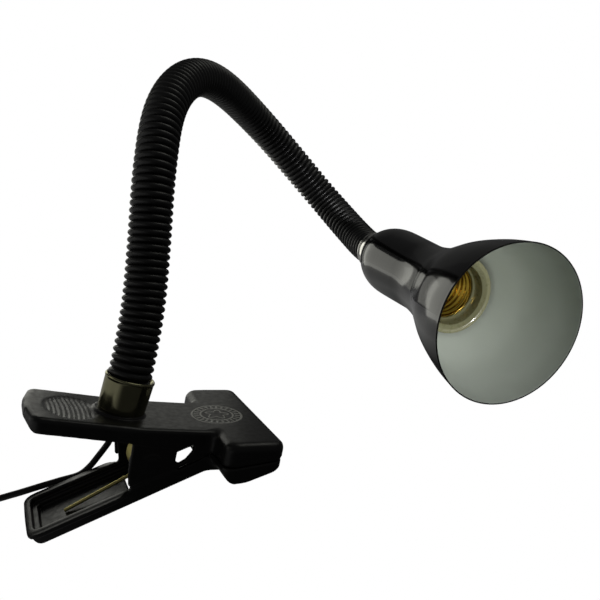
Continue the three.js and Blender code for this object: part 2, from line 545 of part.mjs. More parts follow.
put(clamp, 'cord_switch_run', cordBar([
  [SWITCH_X, SWITCH_Y + SWITCH_LONG / 2 + GAP, FLOOR_Z + SWITCH_SPLIT], [SWITCH_X, SWITCH_Y + SWITCH_LONG / 2 + 3, FLOOR_Z + SWITCH_SPLIT],
  [SWITCH_X - 0.6, 100, cordZ + 2],
  [SWITCH_X - 6, 109, cordZ], [SWITCH_X - 20, 117, cordZ], [COIL_X - 6, 113, cordZ], [COIL_X - hankIn + 2, 101, cordZ + 1],
  [COIL_X - hankIn, 86, cordZ + 3], [COIL_X - hankIn, 70.5, cordZ + 4],
]), CORD)
put(clamp, 'cord_coil', tube(HANK_OUT, HANK_IN, hankZ, hankZ + HANK_H, 36).translate(COIL_X, COIL_Y, 0), CORD)
const tieIn = Math.sqrt(HANK_IN ** 2 - (TIE_W / 2) ** 2) - GAP
const tieOuter = rect(tieIn - TIE_T, HANK_OUT + GAP + TIE_T, hankZ - GAP - TIE_T, hankZ + HANK_H + GAP + TIE_T, 1)
const tieInner = rect(tieIn, HANK_OUT + GAP, hankZ - GAP, hankZ + HANK_H + GAP)
put(clamp, 'cord_tie', cut(solid(alongY(tieOuter, -TIE_W / 2, TIE_W / 2)), solid(alongY(tieInner, -TIE_W, TIE_W)))
  .translate([COIL_X, COIL_Y, 0]), CORD)

// in-line switch
const sw = new THREE.Group()
sw.position.set(SWITCH_X, SWITCH_Y, FLOOR_Z)
clamp.add(sw)
const hull = (z0, z1, r = 8) =>
  solid(upZ(rect(-SWITCH_WIDE / 2, SWITCH_WIDE / 2, -SWITCH_LONG / 2, SWITCH_LONG / 2, r), z0, z1))
const rockerHalf = 7.2
const rockerWide = 4.5
const rockerZ = SWITCH_H - 3.6
const cover = cut(hull(SWITCH_SPLIT, SWITCH_H),
  solid(upZ(rect(-rockerWide - GAP, rockerWide + GAP, -rockerHalf - 1, rockerHalf + 1), SWITCH_SPLIT - STEP, SWITCH_H + STEP)))
put(sw, 'switch_housing_upper', cover, BLACK)
put(sw, 'switch_housing_lower', cut(hull(0, SWITCH_SPLIT - 0.05),
  solid(upZ(rect(-rockerWide - GAP, rockerWide + GAP, -rockerHalf - 1, rockerHalf + 1), 3, SWITCH_SPLIT + STEP)),
  solid(rod(1.9, -STEP, 4.5, 16).translate(0, 17, 0))), BLACK)
put(sw, 'switch_screw', rod(1.6, 0.8, 4.2, 16).translate(0, 17, 0), STEEL)
const rocker = new THREE.Group()
rocker.position.set(0, 0, rockerZ)
rocker.rotation.x = THREE.MathUtils.degToRad(ROCKER_TILT)
sw.add(rocker)
put(rocker, 'switch_rocker', solid(alongY([
  [-rockerHalf, 4.6, 0.8], [-rockerHalf, -1.5, 1], [-2.5, -3.2, 1], [2.5, -3.2, 1], [rockerHalf, -1.5, 1],
  [rockerHalf, 4.6, 0.8], [0, 3.4],
], -rockerWide, rockerWide).rotateZ(Math.PI / 2)), GLOSS)

// plug
const plug = new THREE.Group()
plug.position.set(PLUG_X, PLUG_Y, FLOOR_Z + PLUG_H / 2)
plug.rotation.z = THREE.MathUtils.degToRad(PLUG_TURN)
clamp.add(plug)
const plugPlan = upZ([
  [0, -4.5, 1.5], [9, -6.5, 4], [20, -15.5, 8], [PLUG_LONG, -17.6, 1.2], [PLUG_LONG, 17.6, 1.2], [20, 15.5, 8], [9, 6.5, 4],
  [0, 4.5, 1.5],
], -PLUG_H / 2, PLUG_H / 2)
const pinHoles = [1, -1].map((side) =>
  solid(rod(PLUG_PIN_R + GAP, PLUG_LONG - 8, PLUG_LONG + 1, 20).rotateY(Math.PI / 2)
    .translate(0, (side * PLUG_PIN_APART) / 2, 0)))
put(plug, 'plug_body', cut(solid(plugPlan), ...pinHoles), BLACK)
for (const [i, side] of [1, -1].entries()) {
  put(plug, `plug_pin_${i + 1}`, rod(PLUG_PIN_R, PLUG_LONG - 7.7, PLUG_LONG + PLUG_PIN_LONG, 20).rotateY(Math.PI / 2)
    .translate(0, (side * PLUG_PIN_APART) / 2, 0), STEEL)
}
const turn = THREE.MathUtils.degToRad(PLUG_TURN)
const behind = (d, z) => [PLUG_X - d * Math.cos(turn), PLUG_Y - d * Math.sin(turn), z]
put(clamp, 'cord_plug_run', cordBar([behind(5, FLOOR_Z + PLUG_H / 2 - 0.4), behind(2.5, FLOOR_Z + PLUG_H / 2 - 0.1), behind(GAP, FLOOR_Z + PLUG_H / 2)]), CORD)

export default lamp
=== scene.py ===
# %% [markdown]
# # Clip-on reading lamp
# A sprung clamp holds a bent, ribbed gooseneck, and a long bell shade hangs from its end. The
# solid model gives every piece its place; this file gives the pieces their moulded shapes,
# ribs, threads and finishes.
#
# Lengths are millimetres in the clamp's own layout. X runs from the handles to the nose, Z is
# measured up from the arm's flat top, and the neck stands at X 0. `place()` turns them into the
# frame's metres, so the numbers stay the sizes that a ruler would show.

# %% The frame
import bpy
import math
import numpy as np
from mathutils import Vector, Matrix


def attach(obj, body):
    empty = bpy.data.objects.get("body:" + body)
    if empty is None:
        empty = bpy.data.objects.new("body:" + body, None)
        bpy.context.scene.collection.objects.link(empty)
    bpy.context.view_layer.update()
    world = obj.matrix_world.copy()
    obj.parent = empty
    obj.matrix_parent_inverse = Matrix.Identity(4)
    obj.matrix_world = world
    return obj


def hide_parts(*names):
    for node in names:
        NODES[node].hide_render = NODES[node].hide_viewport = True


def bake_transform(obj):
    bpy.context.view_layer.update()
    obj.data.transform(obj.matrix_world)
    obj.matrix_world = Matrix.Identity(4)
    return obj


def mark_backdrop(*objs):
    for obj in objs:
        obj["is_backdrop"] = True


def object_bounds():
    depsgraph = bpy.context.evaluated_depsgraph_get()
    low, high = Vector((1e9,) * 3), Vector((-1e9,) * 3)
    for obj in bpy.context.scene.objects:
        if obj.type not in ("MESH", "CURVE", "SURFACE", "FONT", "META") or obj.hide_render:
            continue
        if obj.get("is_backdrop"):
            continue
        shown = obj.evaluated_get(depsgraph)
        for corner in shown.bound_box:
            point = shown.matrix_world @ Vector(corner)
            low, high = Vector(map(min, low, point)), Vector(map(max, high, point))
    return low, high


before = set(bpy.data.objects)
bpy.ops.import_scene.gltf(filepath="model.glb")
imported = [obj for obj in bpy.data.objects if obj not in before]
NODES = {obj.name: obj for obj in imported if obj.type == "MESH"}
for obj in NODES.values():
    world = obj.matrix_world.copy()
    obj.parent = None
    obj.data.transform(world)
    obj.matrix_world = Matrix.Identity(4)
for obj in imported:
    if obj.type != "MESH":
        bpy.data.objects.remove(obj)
size_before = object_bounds()
GRIP = np.array([52.0, 0.0, -7.5])  # between the nose pads, where the frame's origin is
FLOOR = -53.75  # what the cord lies on
HEAD_AXIS = np.array([-0.0397, -0.9936, -0.1062])  # from the collar to the shade's mouth
HEAD_AXIS /= np.linalg.norm(HEAD_AXIS)
RING_BACK = np.array([144.8, 56.9, 86.3])  # the middle of the collar's back
print(len(NODES), "pieces in the frame")


def place(points):
    """Clamp millimetres to frame metres: (p - grip) / 1000."""
    return (np.asarray(points, float) - GRIP) / 1000.0


def unit(v):
    """v over its length, along the last axis."""
    v = np.asarray(v, float)
    return v / np.maximum(np.linalg.norm(v, axis=-1, keepdims=True), 1e-12)


# %% [markdown]
# ## Camera
# The lamp is seen from in front of the clamp and a little above it. A camera can be aimed with
# a constraint, but that always levels it. Here its right, up and back directions are the
# columns of a matrix, which keeps the slight roll.

# %% Camera
camera_at = np.array([-65.1, -298.82, 105.64])
camera_ahead = unit([0.425, 0.895, -0.136])
camera_up = np.array([-0.114, 0.202, 0.973])
camera_data = bpy.data.cameras.new("camera")
camera_data.sensor_width = 36.0
camera_data.lens = 41.95
camera_data.clip_start = 0.01
camera = bpy.data.objects.new("camera", camera_data)
bpy.context.scene.collection.objects.link(camera)
back = -camera_ahead
right = unit(np.cross(camera_up, back))
upward = np.cross(back, right)
turn = Matrix(np.column_stack([right, upward, back]).tolist()).to_4x4()
camera.matrix_world = Matrix.Translation(Vector(place(camera_at))) @ turn
bpy.context.scene.camera = camera
bpy.context.scene.view_settings.view_transform = "Standard"
print("camera with a lens of", round(camera_data.lens, 2), "mm")

# %% [markdown]
# ## Meshes from arrays
# Every new piece is a surface worked out with numpy: a grid of points from two parameters, or a
# profile carried along a path. Adding vertices one at a time would also work, but whole arrays are
# quicker and show the formula. `make()` puts them into a mesh, hangs it on the body that it rides
# on and hides the solids that it stands for.


# %% One piece
def make(name, points, faces, material, body=None, replaces=(), smooth=True,
         places=None):
    """An object from clamp-millimetre points and faces. faces is an array of equal polygons or
    a list of mixed ones; places numbers each face's material where there are several."""
    data = bpy.data.meshes.new(name)
    points = place(points)
    if isinstance(faces, list):
        data.from_pydata(points.tolist(), [], faces)
    else:
        n, k = faces.shape
        data.vertices.add(len(points))
        data.vertices.foreach_set("co", points.astype(np.float32).ravel())
        data.loops.add(n * k)
        data.loops.foreach_set("vertex_index", faces.astype(np.int32).ravel())
        data.polygons.add(n)
        data.polygons.foreach_set("loop_start", np.arange(0, n * k, k, dtype=np.int32))
        data.update(calc_edges=True)
    data.validate()
    for m in material if isinstance(material, (list, tuple)) else [material]:
        data.materials.append(m)
    if places is not None:
        data.polygons.foreach_set("material_index", np.asarray(places, np.int32))
    data.polygons.foreach_set("use_smooth", np.full(len(data.polygons), bool(smooth)))
    obj = bpy.data.objects.new(name, data)
    bpy.context.scene.collection.objects.link(obj)
    if body:
        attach(obj, body)
    if replaces:
        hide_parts(*replaces)
    print(name, len(points), "points")
    return obj


# %% Faces of grids and tubes
def grid_faces(rows, columns, wrap_columns=True, wrap_rows=False):
    """Quads between neighbouring rows and columns of a point grid stored row by row: point
    (row, column) has the number row * columns + column."""
    r = np.arange(rows if wrap_rows else rows - 1)
    c = np.arange(columns if wrap_columns else columns - 1)
    R, C = np.meshgrid(r, c, indexing="ij")
    R2, C2 = (R + 1) % rows, (C + 1) % columns
    corners = [R * columns + C, R * columns + C2, R2 * columns + C2, R2 * columns + C]
    return np.stack(corners, -1).reshape(-1, 4)


def capped(rows, around):
    """The faces of a tube of rings with a fan of triangles over each end. The two points at the
    fans' middles are numbered after the rings' own."""
    n, last = rows * around, (rows - 1) * around
    k = np.arange(around)
    after = np.roll(k, -1)
    near = np.column_stack([np.full(around, n), after, k])
    far = np.column_stack([np.full(around, n + 1), last + k, last + after])
    return grid_faces(rows, around).tolist() + near.tolist() + far.tolist()


def facing_out(points, faces):
    """The faces, turned round if the closed surface they make has a negative volume. The volume
    is a sixth of the sum of a . (b x c) over its triangles."""
    f = np.asarray(faces)
    a, b, c = points[f[:, 0]], points[f[:, 1]], points[f[:, 2]]
    volume = np.einsum("ij,ij->i", a, np.cross(b, c)).sum()
    if f.shape[1] == 4:
        volume += np.einsum("ij,ij->i", a, np.cross(c, points[f[:, 3]])).sum()
    return f if volume > 0 else f[:, ::-1]


# %% Turned pieces and rounded outlines
def across(axis):
    """Two unit vectors square to axis and to each other, by crossing axis with Z, or with X
    where axis is nearly Z."""
    axis = unit(axis)
    side = unit(np.cross(axis, [0.0, 0.0, 1.0] if abs(axis[2]) < 0.9 else [1.0, 0.0, 0.0]))
    return side, np.cross(axis, side)


def spokes_round(side, other, around):
    """Unit vectors in a circle: cos a * side + sin a * other, a in equal steps from 0."""
    a = np.linspace(0, 2 * math.pi, around, endpoint=False)
    return np.cos(a)[:, None] * side + np.sin(a)[:, None] * other


def turned(profile, axis=(0, 0, 1), origin=(0, 0, 0), around=96, closed=False):
    """A surface of revolution: every (radius, height) point of profile turned about axis through
    origin, so point = origin + height * axis + radius * spoke. An open profile starts and ends
    on the axis."""
    profile, origin, axis = np.asarray(profile, float), np.asarray(origin), unit(axis)
    spoke = spokes_round(*across(axis), around)
    rings = profile if closed else profile[1:-1]
    points = origin + rings[:, None, 1:2] * axis + rings[:, None, 0:1] * spoke[None]
    points = points.reshape(-1, 3)
    if closed:
        return points, grid_faces(len(rings), around, True, True)
    ends = origin + profile[[0, -1], 1:2] * axis
    return np.vstack([points, ends]), capped(len(rings), around)


def rounded(points, radius, steps=5):
    """A closed outline with each corner replaced by an arc, one radius for all or one each. The
    arc's centre is radius / sin(half) from the corner along its bisector, half being half the
    angle between its edges."""
    points = np.asarray(points, float)
    radii = np.broadcast_to(radius, len(points))
    out = []
    for i, p in enumerate(points):
        a, b = unit(points[i - 1] - p), unit(points[(i + 1) % len(points)] - p)
        half = math.acos(float(np.clip(a @ b, -1, 1))) / 2
        if radii[i] <= 0 or half > 1.55:  # a sharp corner, or one that is nearly straight
            out.append(p)
            continue
        centre = p + unit(a + b) * radii[i] / math.sin(half)
        start, end = (p + way * radii[i] / math.tan(half) for way in (a, b))
        for t in np.linspace(0, 1, steps):
            out.append(centre + unit((start - centre) * (1 - t) + (end - centre) * t) * radii[i])
    return np.array(out)


# %% [markdown]
# ## Curves
# Neck, cords and spring are round bars along a curve. A curve object with a bevel could make
# them, but ribs, windings and measured lengths need the points themselves, so the lines are
# worked out here and the bar is laid round them.


# %% Lines
def catmull(points, per_span=60):
    """A centripetal Catmull-Rom line through points: each span's knots are spaced by the square
    root of its length, and a point is found by blending straight lines between the knots three
    times over."""
    p = np.asarray(points, float)
    p = np.vstack([2 * p[0] - p[1], p, 2 * p[-1] - p[-2]])
    out = []
    for i in range(1, len(p) - 2):
        p0, p1, p2, p3 = p[i - 1 : i + 3]
        spans = ((p0, p1), (p1, p2), (p2, p3))
        t = np.cumsum([0] + [max(np.linalg.norm(b - a), 1e-6) ** 0.5 for a, b in spans])
        s = np.linspace(t[1], t[2], per_span, endpoint=i == len(p) - 3)[:, None]
        a1 = (t[1] - s) / (t[1] - t[0]) * p0 + (s - t[0]) / (t[1] - t[0]) * p1
        a2 = (t[2] - s) / (t[2] - t[1]) * p1 + (s - t[1]) / (t[2] - t[1]) * p2
        a3 = (t[3] - s) / (t[3] - t[2]) * p2 + (s - t[2]) / (t[3] - t[2]) * p3
        b1 = (t[2] - s) / (t[2] - t[0]) * a1 + (s - t[0]) / (t[2] - t[0]) * a2
        b2 = (t[3] - s) / (t[3] - t[1]) * a2 + (s - t[1]) / (t[3] - t[1]) * a3
        out.append((t[2] - s) / (t[2] - t[1]) * b1 + (s - t[1]) / (t[2] - t[1]) * b2)
    return np.vstack(out)


def travelled(line):
    """The distance along line to each of its points."""
    return np.r_[0, np.cumsum(np.linalg.norm(np.diff(line, axis=0), axis=1))]


def evenly(line, step):
    """line resampled at equal distances of about step."""
    s = travelled(line)
    n = max(int(round(s[-1] / step)), 2)
    at = np.linspace(0, s[-1], n + 1)
    return np.column_stack([np.interp(at, s, line[:, k]) for k in range(3)])


def frames(line):
    """Tangents of a line and a pair of unit vectors carried along it without twist. Each step
    mirrors the pair in the plane halfway to the next point, and then in the plane that turns
    the mirrored tangent into the next tangent."""
    t = unit(np.gradient(line, axis=0))
    n = np.empty_like(t)
    n[0] = across(t[0])[0]
    for i in range(len(t) - 1):
        v = line[i + 1] - line[i]
        c = v @ v
        rn = n[i] - 2 / c * (v @ n[i]) * v
        rt = t[i] - 2 / c * (v @ t[i]) * v
        w = t[i + 1] - rt
        cw = w @ w
        n[i + 1] = rn - (2 / cw * (w @ rn) * w if cw > 1e-14 else 0)
    return t, n, np.cross(t, n)


def spokes_along(n, b, around):
    """A circle of unit vectors at every point of a line: cos a * n + sin a * b."""
    a = np.linspace(0, 2 * math.pi, around, endpoint=False)
    return np.cos(a)[None, :, None] * n[:, None] + np.sin(a)[None, :, None] * b[:, None]


def along(line, radius, around=24):
    """A closed round bar along line: point = centre + radius * spoke. radius is one number or
    one per point of the line."""
    t, n, b = frames(line)
    r = np.broadcast_to(radius, len(line))[:, None, None]
    points = (line[:, None] + r * spokes_along(n, b, around)).reshape(-1, 3)
    return np.vstack([points, line[0], line[-1]]), capped(len(line), around)


# %% [markdown]
# ## Moulded jaws as distance fields
# A moulding is made of flats, ribs and pockets that run into each other with small fillets.
# Booleans and bevels give up where several fillets meet. So each jaw is described by signed
# distances on a grid, negative inside, and joined and cut with soft minima that leave fillets
# the size of real moulding radii. A surface net then gives an even mesh.


# %% Joining and cutting
def soft_max(a, b, k):
    """max(a, b) with the corner rounded over k: the greater plus h^2 k / 4, where h is
    max(k - |a - b|, 0) / k."""
    h = np.maximum(k - np.abs(a - b), 0) / k
    return np.maximum(a, b) + h * h * k / 4


def soft_min(a, b, k):
    """The union's fillet: minus soft_max of the negatives."""
    return -soft_max(-a, -b, k)


def most(first, *rest):
    """The greatest of several fields at each point."""
    for f in rest:
        first = np.maximum(first, f)
    return first


def polygon_field(px, py, outline):
    """Signed distance to a closed outline at every px, py: the least distance to an edge,
    negative where a line toward greater px crosses the outline an odd number of times."""
    d = np.full(px.shape, 1e9)
    inside = np.zeros(px.shape, bool)
    for i in range(len(outline)):
        (ax, ay), (bx, by) = outline[i - 1], outline[i]
        ex, ey = bx - ax, by - ay
        wx, wy = px - ax, py - ay
        t = np.clip((wx * ex + wy * ey) / (ex * ex + ey * ey + 1e-12), 0, 1)
        d = np.minimum(d, (wx - ex * t) ** 2 + (wy - ey * t) ** 2)
        crosses = (ay > py) != (by > py)
        where = ax + (py - ay) / (ey if abs(ey) > 1e-12 else 1e-12) * ex
        inside ^= crosses & (px < where)
    return np.where(inside, -1, 1) * np.sqrt(d)


# %% The grid and its surface net
class Field:
    """A grid of points for signed distances, and the surface where they are 0."""

    def __init__(self, low, high, step):
        """Points every step millimetres from low to high along X, Y and Z."""
        self.step = step
        self.low = np.array(low, float)
        self.axes = [np.arange(l, h + step, step) for l, h in zip(low, high)]
        x, y, z = self.axes
        self.x, self.y, self.z = x[:, None, None], y[None, :, None], z[None, None, :]

    def plan(self, outline):
        """Distance to an outline in X and Y, the same at every Z."""
        x, y = np.meshgrid(self.axes[0], self.axes[1], indexing="ij")
        return polygon_field(x, y, outline)[:, :, None]

    def side(self, outline):
        """Distance to an outline in X and Z, the same at every Y."""
        x, z = np.meshgrid(self.axes[0], self.axes[2], indexing="ij")
        return polygon_field(x, z, outline)[:, None, :]

    def net(self, f):
        """The surface where f is 0: one point in each cell that the surface passes, at the mean
        of its edge crossings, and one quad for each grid edge it crosses."""
        f = np.broadcast_to(f, [len(a) for a in self.axes]).astype(np.float32)
        number, points = self.cell_points(f)
        inside = f < 0
        faces = []
        for axis in range(3):
            a = [slice(1, -1)] * 3
            a[axis] = slice(0, -1)
            b = list(a)
            b[axis] = slice(1, None)
            p, q = inside[tuple(a)], inside[tuple(b)]
            for crossed, order in ((p & ~q, 1), (~p & q, -1)):
                faces.append(self.cell_quads(np.argwhere(crossed), axis, number)[:, ::order])
        return points, np.vstack(faces)

    def cell_points(self, f):
        """Each passed cell's number, and its point: the mean of where f is 0 on its twelve
        edges, found from the two ends' values a and b as a / (a - b)."""
        shape = np.array(f.shape) - 1
        total = np.zeros((*shape, 3), np.float32)
        count = np.zeros(shape, np.float32)

        def corner(i, j, k):
            """The value at one corner of every cell: the field moved by i, j, k."""
            return f[i : i + shape[0], j : j + shape[1], k : k + shape[2]]

        for axis in range(3):
            for u, v in ((0, 0), (0, 1), (1, 0), (1, 1)):
                o = [0, 0, 0]
                o[(axis + 1) % 3], o[(axis + 2) % 3] = u, v
                e = list(o)
                e[axis] = 1
                a, b = corner(*o), corner(*e)
                hit = (a < 0) != (b < 0)
                t = np.where(hit, a / np.where(hit, a - b, 1), 0)
                for k in range(3):
                    total[..., k] += np.where(hit, o[k] + (t if k == axis else 0), 0)
                count += hit
        active = count > 0
        number = np.full(shape, -1)
        number[active] = np.arange(active.sum())
        middle = total[active] / count[active][:, None]
        return number, self.low + (np.argwhere(active) + middle) * self.step

    def cell_quads(self, at, axis, number):
        """The quads through the four cells round each crossed grid edge at `at`."""
        u, v = (axis + 1) % 3, (axis + 2) % 3
        at[:, u] += 1
        at[:, v] += 1
        quad = []
        for du, dv in ((-1, -1), (0, -1), (0, 0), (-1, 0)):
            c = at.copy()
            c[:, u] += du
            c[:, v] += dv
            quad.append(number[c[:, 0], c[:, 1], c[:, 2]])
        return np.stack(quad, -1)


print("shape helpers ready")

# %% [markdown]
# ## Finishes
# Nothing on a used lamp is one even colour: moulded plastic has a fine grain, paint shows soft
# blotches, and dust stays in the low places. Painted pictures would show seams on shapes like
# these, so every finish is built from noise in object coordinates. What they share is one group
# of nodes, placed in each material with its own values.


# %% Adding nodes
def adder(tree):
    """A function that adds nodes to tree. Links are (input, source) pairs; a value called i_3
    or i_Scale sets the input of that number or name, and any other sets a property."""
    def add(kind, links=(), **values):
        """One node of this kind."""
        n = tree.nodes.new(kind)
        for k, v in values.items():
            if k.startswith("i_"):
                key = k[2:]
                n.inputs[int(key) if key.isdigit() else key.replace("_", " ")].default_value = v
            else:
                setattr(n, k, v)
        for key, source in links:
            tree.links.new(source, n.inputs[key])
        return n

    return add


def nodes_of(name):
    """A material with no nodes yet, and the function that adds them."""
    m = bpy.data.materials.new(name)
    m.use_nodes = True
    m.node_tree.nodes.clear()
    return m, adder(m.node_tree)


# %% The variation that all finishes share
VARIATION_IN = {"Vector": "Vector", "Colour": "Color", "Darkest": "Float", "Lightest": "Float",
                "Smoothest": "Float", "Roughest": "Float", "Grain Scale": "Float", "Dust": "Float"}
VARIATION_OUT = {"Colour": "Color", "Roughness": "Float", "Height": "Float"}
DUST_COLOUR = (0.32, 0.31, 0.29, 1)


def variation_group():
    """Colour times a soft noise from Darkest to Lightest, roughness by another noise from
    Smoothest to Roughest, Dust mixed in where that noise is high, and a fine grain as Height."""
    group = bpy.data.node_groups.new("finish_variation", "ShaderNodeTree")
    for sockets, way in ((VARIATION_IN, "INPUT"), (VARIATION_OUT, "OUTPUT")):
        for name, kind in sockets.items():
            group.interface.new_socket(name, in_out=way, socket_type="NodeSocket" + kind)
    add = adder(group)
    given = add("NodeGroupInput").outputs
    at = ("Vector", given["Vector"])
    soft = add("ShaderNodeTexNoise", [at], i_Scale=60.0, i_Detail=4.0)
    wear = add("ShaderNodeTexNoise", [at], i_Scale=420.0, i_Detail=5.0)
    fine = add("ShaderNodeTexNoise", [at, ("Scale", given["Grain Scale"])], i_Detail=3.0)
    shade = add("ShaderNodeMapRange", [("Value", soft.outputs["Fac"]), (3, given["Darkest"]),
                                       (4, given["Lightest"])])
    tint = add("ShaderNodeVectorMath", [(0, given["Colour"]), (3, shade.outputs[0])],
               operation="SCALE")
    fleck = add("ShaderNodeMapRange", [("Value", wear.outputs["Fac"]), (4, given["Dust"])],
                i_1=0.52, i_2=0.78, i_3=0.0)
    dusty = add("ShaderNodeMix", [("Factor", fleck.outputs[0]), (6, tint.outputs[0])],
                data_type="RGBA", i_7=DUST_COLOUR)
    rough = add("ShaderNodeMapRange", [("Value", wear.outputs["Fac"]), (3, given["Smoothest"]),
                                       (4, given["Roughest"])], i_1=0.3, i_2=0.7)
    add("NodeGroupOutput", [("Colour", dusty.outputs[2]), ("Roughness", rough.outputs[0]),
                            ("Height", fine.outputs["Fac"])])
    return group


VARIATION = variation_group()
print(VARIATION.name, "has", len(VARIATION.nodes), "nodes")


# %% One finish
def surface(name, colour, rough, metal=0.0, grain=0.0, grain_scale=4000.0, blotch=0.15,
            coat=0.0, spec=0.5, rough_spread=0.08, dust=0.0, extra=None):
    """A principled surface whose colour varies by blotch either way and whose roughness varies
    by rough_spread; a noise of grain_scale per metre lifts it by grain metres. extra adds a
    mark of its own to the colour and the height."""
    m, add = nodes_of(name)
    where = add("ShaderNodeTexCoord")
    varied = add("ShaderNodeGroup", [("Vector", where.outputs["Object"])], node_tree=VARIATION,
                 i_Colour=(*colour, 1), i_Darkest=1.0 - blotch, i_Lightest=1.0 + blotch,
                 i_Smoothest=rough - rough_spread, i_Roughest=rough + rough_spread,
                 i_Grain_Scale=grain_scale, i_Dust=dust).outputs
    colour_out, height = varied["Colour"], varied["Height"]
    if extra:
        colour_out, height = extra(add, where, colour_out, height)
    body = add("ShaderNodeBsdfPrincipled",
               [("Base Color", colour_out), ("Roughness", varied["Roughness"])],
               i_Metallic=metal, i_Specular_IOR_Level=spec, i_Coat_Weight=coat,
               i_Coat_Roughness=0.06)
    if grain:
        bump = add("ShaderNodeBump", [("Height", height)], i_Strength=1.0, i_Distance=grain)
        m.node_tree.links.new(bump.outputs[0], body.inputs["Normal"])
    add("ShaderNodeOutputMaterial", [("Surface", body.outputs[0])])
    return m


# %% [markdown]
# The nose carries a mark on its top. A picture would have to be drawn and placed; distances
# and angles from one point are enough for a plain ring of spokes, and they stay sharp at any
# size.

# %% The ring on the nose
MARK_AT = [45.6, 0, 1.0]
MARK_COLOUR = (0.62, 0.62, 0.58, 1)
LINE_OUT, LINE_IN = 0.0006, 0.0003  # metres from a line's middle, where it ends and is full
OUTER_RING, INNER_RING = 0.0116, 0.0076
SPOKE_MIDDLE, SPOKE_OUT, SPOKE_IN = 0.00965, 0.00125, 0.0011
LOBES, LOBE_R, LOBE_SWING = 5.0, 0.0043, 0.0012


def ring_mark(add, where, colour_out, height):
    """Two plain rings, two dozen short spokes between them and a five-lobed line inside, raised
    on the nose's top. A ring is where the distance r in X and Y from the centre is near its
    radius. A spoke is where r |sin 12 a| / 12, the distance from the nearest of 24 rays, is
    small, a being the angle. The lobed line is where r is near 4.3 + 1.2 cos 5 a millimetres.
    Only faces near the top carry them."""
    def maths(how, *inputs, **values):
        """What one math node makes of its inputs."""
        return add("ShaderNodeMath", list(enumerate(inputs)), operation=how, **values).outputs[0]

    def vector(how, source, by=None):
        """The outputs of one vector node, worked on source and a fixed vector."""
        n = add("ShaderNodeVectorMath", [(0, source)], operation=how)
        if by:
            n.inputs[1].default_value = by
        return n.outputs

    def near(value, out=LINE_OUT, full=LINE_IN):
        """1 where |value| is under full, falling evenly to 0 at out."""
        size = maths("ABSOLUTE", value)
        return add("ShaderNodeMapRange", [("Value", size)], i_1=out, i_2=full).outputs[0]

    flat = vector("SUBTRACT", where.outputs["Object"], place(MARK_AT).tolist())[0]
    level = vector("MULTIPLY", flat, (1, 1, 0))[0]
    r = vector("LENGTH", level)["Value"]
    parts = add("ShaderNodeSeparateXYZ", [(0, flat)]).outputs
    high = add("ShaderNodeMapRange", [("Value", parts["Z"])], i_1=-0.003, i_2=-0.002).outputs[0]
    angle = maths("ARCTAN2", parts["Y"], parts["X"])
    ray = maths("SINE", maths("MULTIPLY", angle, i_1=12.0))
    ray = maths("DIVIDE", maths("MULTIPLY", ray, r), i_1=12.0)
    between_rings = near(maths("SUBTRACT", r, i_1=SPOKE_MIDDLE), SPOKE_OUT, SPOKE_IN)
    spokes = maths("MULTIPLY", near(ray), between_rings)
    rings = maths("MAXIMUM", *(near(maths("SUBTRACT", r, i_1=at))
                               for at in (OUTER_RING, INNER_RING)))
    lobe = maths("COSINE", maths("MULTIPLY", angle, i_1=LOBES))
    lobe = maths("MULTIPLY_ADD", lobe, i_1=LOBE_SWING, i_2=LOBE_R)
    rosette = near(maths("SUBTRACT", r, lobe))
    on = maths("MAXIMUM", maths("MAXIMUM", spokes, rings), rosette)
    on = maths("MULTIPLY", on, high)
    mixed = add("ShaderNodeMix", [("Factor", on), (6, colour_out)], data_type="RGBA",
                i_7=MARK_COLOUR)
    lifted = add("ShaderNodeMath", [(0, on), (2, height)], operation="MULTIPLY_ADD", i_1=6.0)
    return mixed.outputs[2], lifted.outputs[0]


# %% The blacks
PLASTIC = surface("moulded_black", (0.010, 0.010, 0.0097), 0.36, grain=0.00002,
                  grain_scale=2600, blotch=0.12, dust=0.006, extra=ring_mark)
RIBBED = surface("ribbed_black", (0.005, 0.005, 0.0052), 0.42, grain=0.000012,
                 grain_scale=3000, dust=0.004, spec=0.85)
PLAIN_BLACK = surface("plain_black", (0.008, 0.008, 0.0084), 0.4, grain=0.000015,
                      grain_scale=2800)
GLOSS = surface("gloss_black", (0.003, 0.003, 0.0032), 0.12, grain=0.000003, grain_scale=700,
                blotch=0.1, coat=0.25, rough_spread=0.03)
EDGE = surface("paint_edge", (0.004, 0.004, 0.004), 0.62, spec=0.1)
CORD = surface("cord_sheath", (0.008, 0.008, 0.008), 0.42, grain=0.00001, grain_scale=1800)
RUBBER = surface("pad_rubber", (0.02, 0.02, 0.02), 0.8, grain=0.00004, grain_scale=1500)

# %% Metals, lining, porcelain and leads
CHROME = surface("dark_chrome", (0.37, 0.355, 0.215), 0.16, metal=1.0, grain=0.000002,
                 grain_scale=500, rough_spread=0.05)
SILVER = surface("silver", (0.74, 0.73, 0.70), 0.2, metal=1.0, grain=0.000002, grain_scale=600)
STEEL = surface("steel", (0.55, 0.55, 0.54), 0.32, metal=1.0, grain=0.000004, grain_scale=900)
ZINC = surface("yellow_zinc", (0.92, 0.81, 0.30), 0.42, metal=1.0, grain=0.000004,
               grain_scale=1200, blotch=0.25)
BRASS = surface("brass", (0.45, 0.29, 0.045), 0.2, metal=1.0, grain=0.000003, grain_scale=800,
                blotch=0.2)
LINING = surface("white_lining", (0.60, 0.645, 0.585), 0.5, grain=0.000006, grain_scale=900,
                 blotch=0.03, spec=0.35)
PORCELAIN = surface("porcelain", (0.21, 0.205, 0.112), 0.3, grain=0.000006, grain_scale=500,
                    blotch=0.05, coat=0.5)
BROWN = surface("brown_sheath", (0.10, 0.035, 0.015), 0.45)
BLUE = surface("blue_sheath", (0.02, 0.07, 0.28), 0.45)
print(len(bpy.data.materials), "materials")

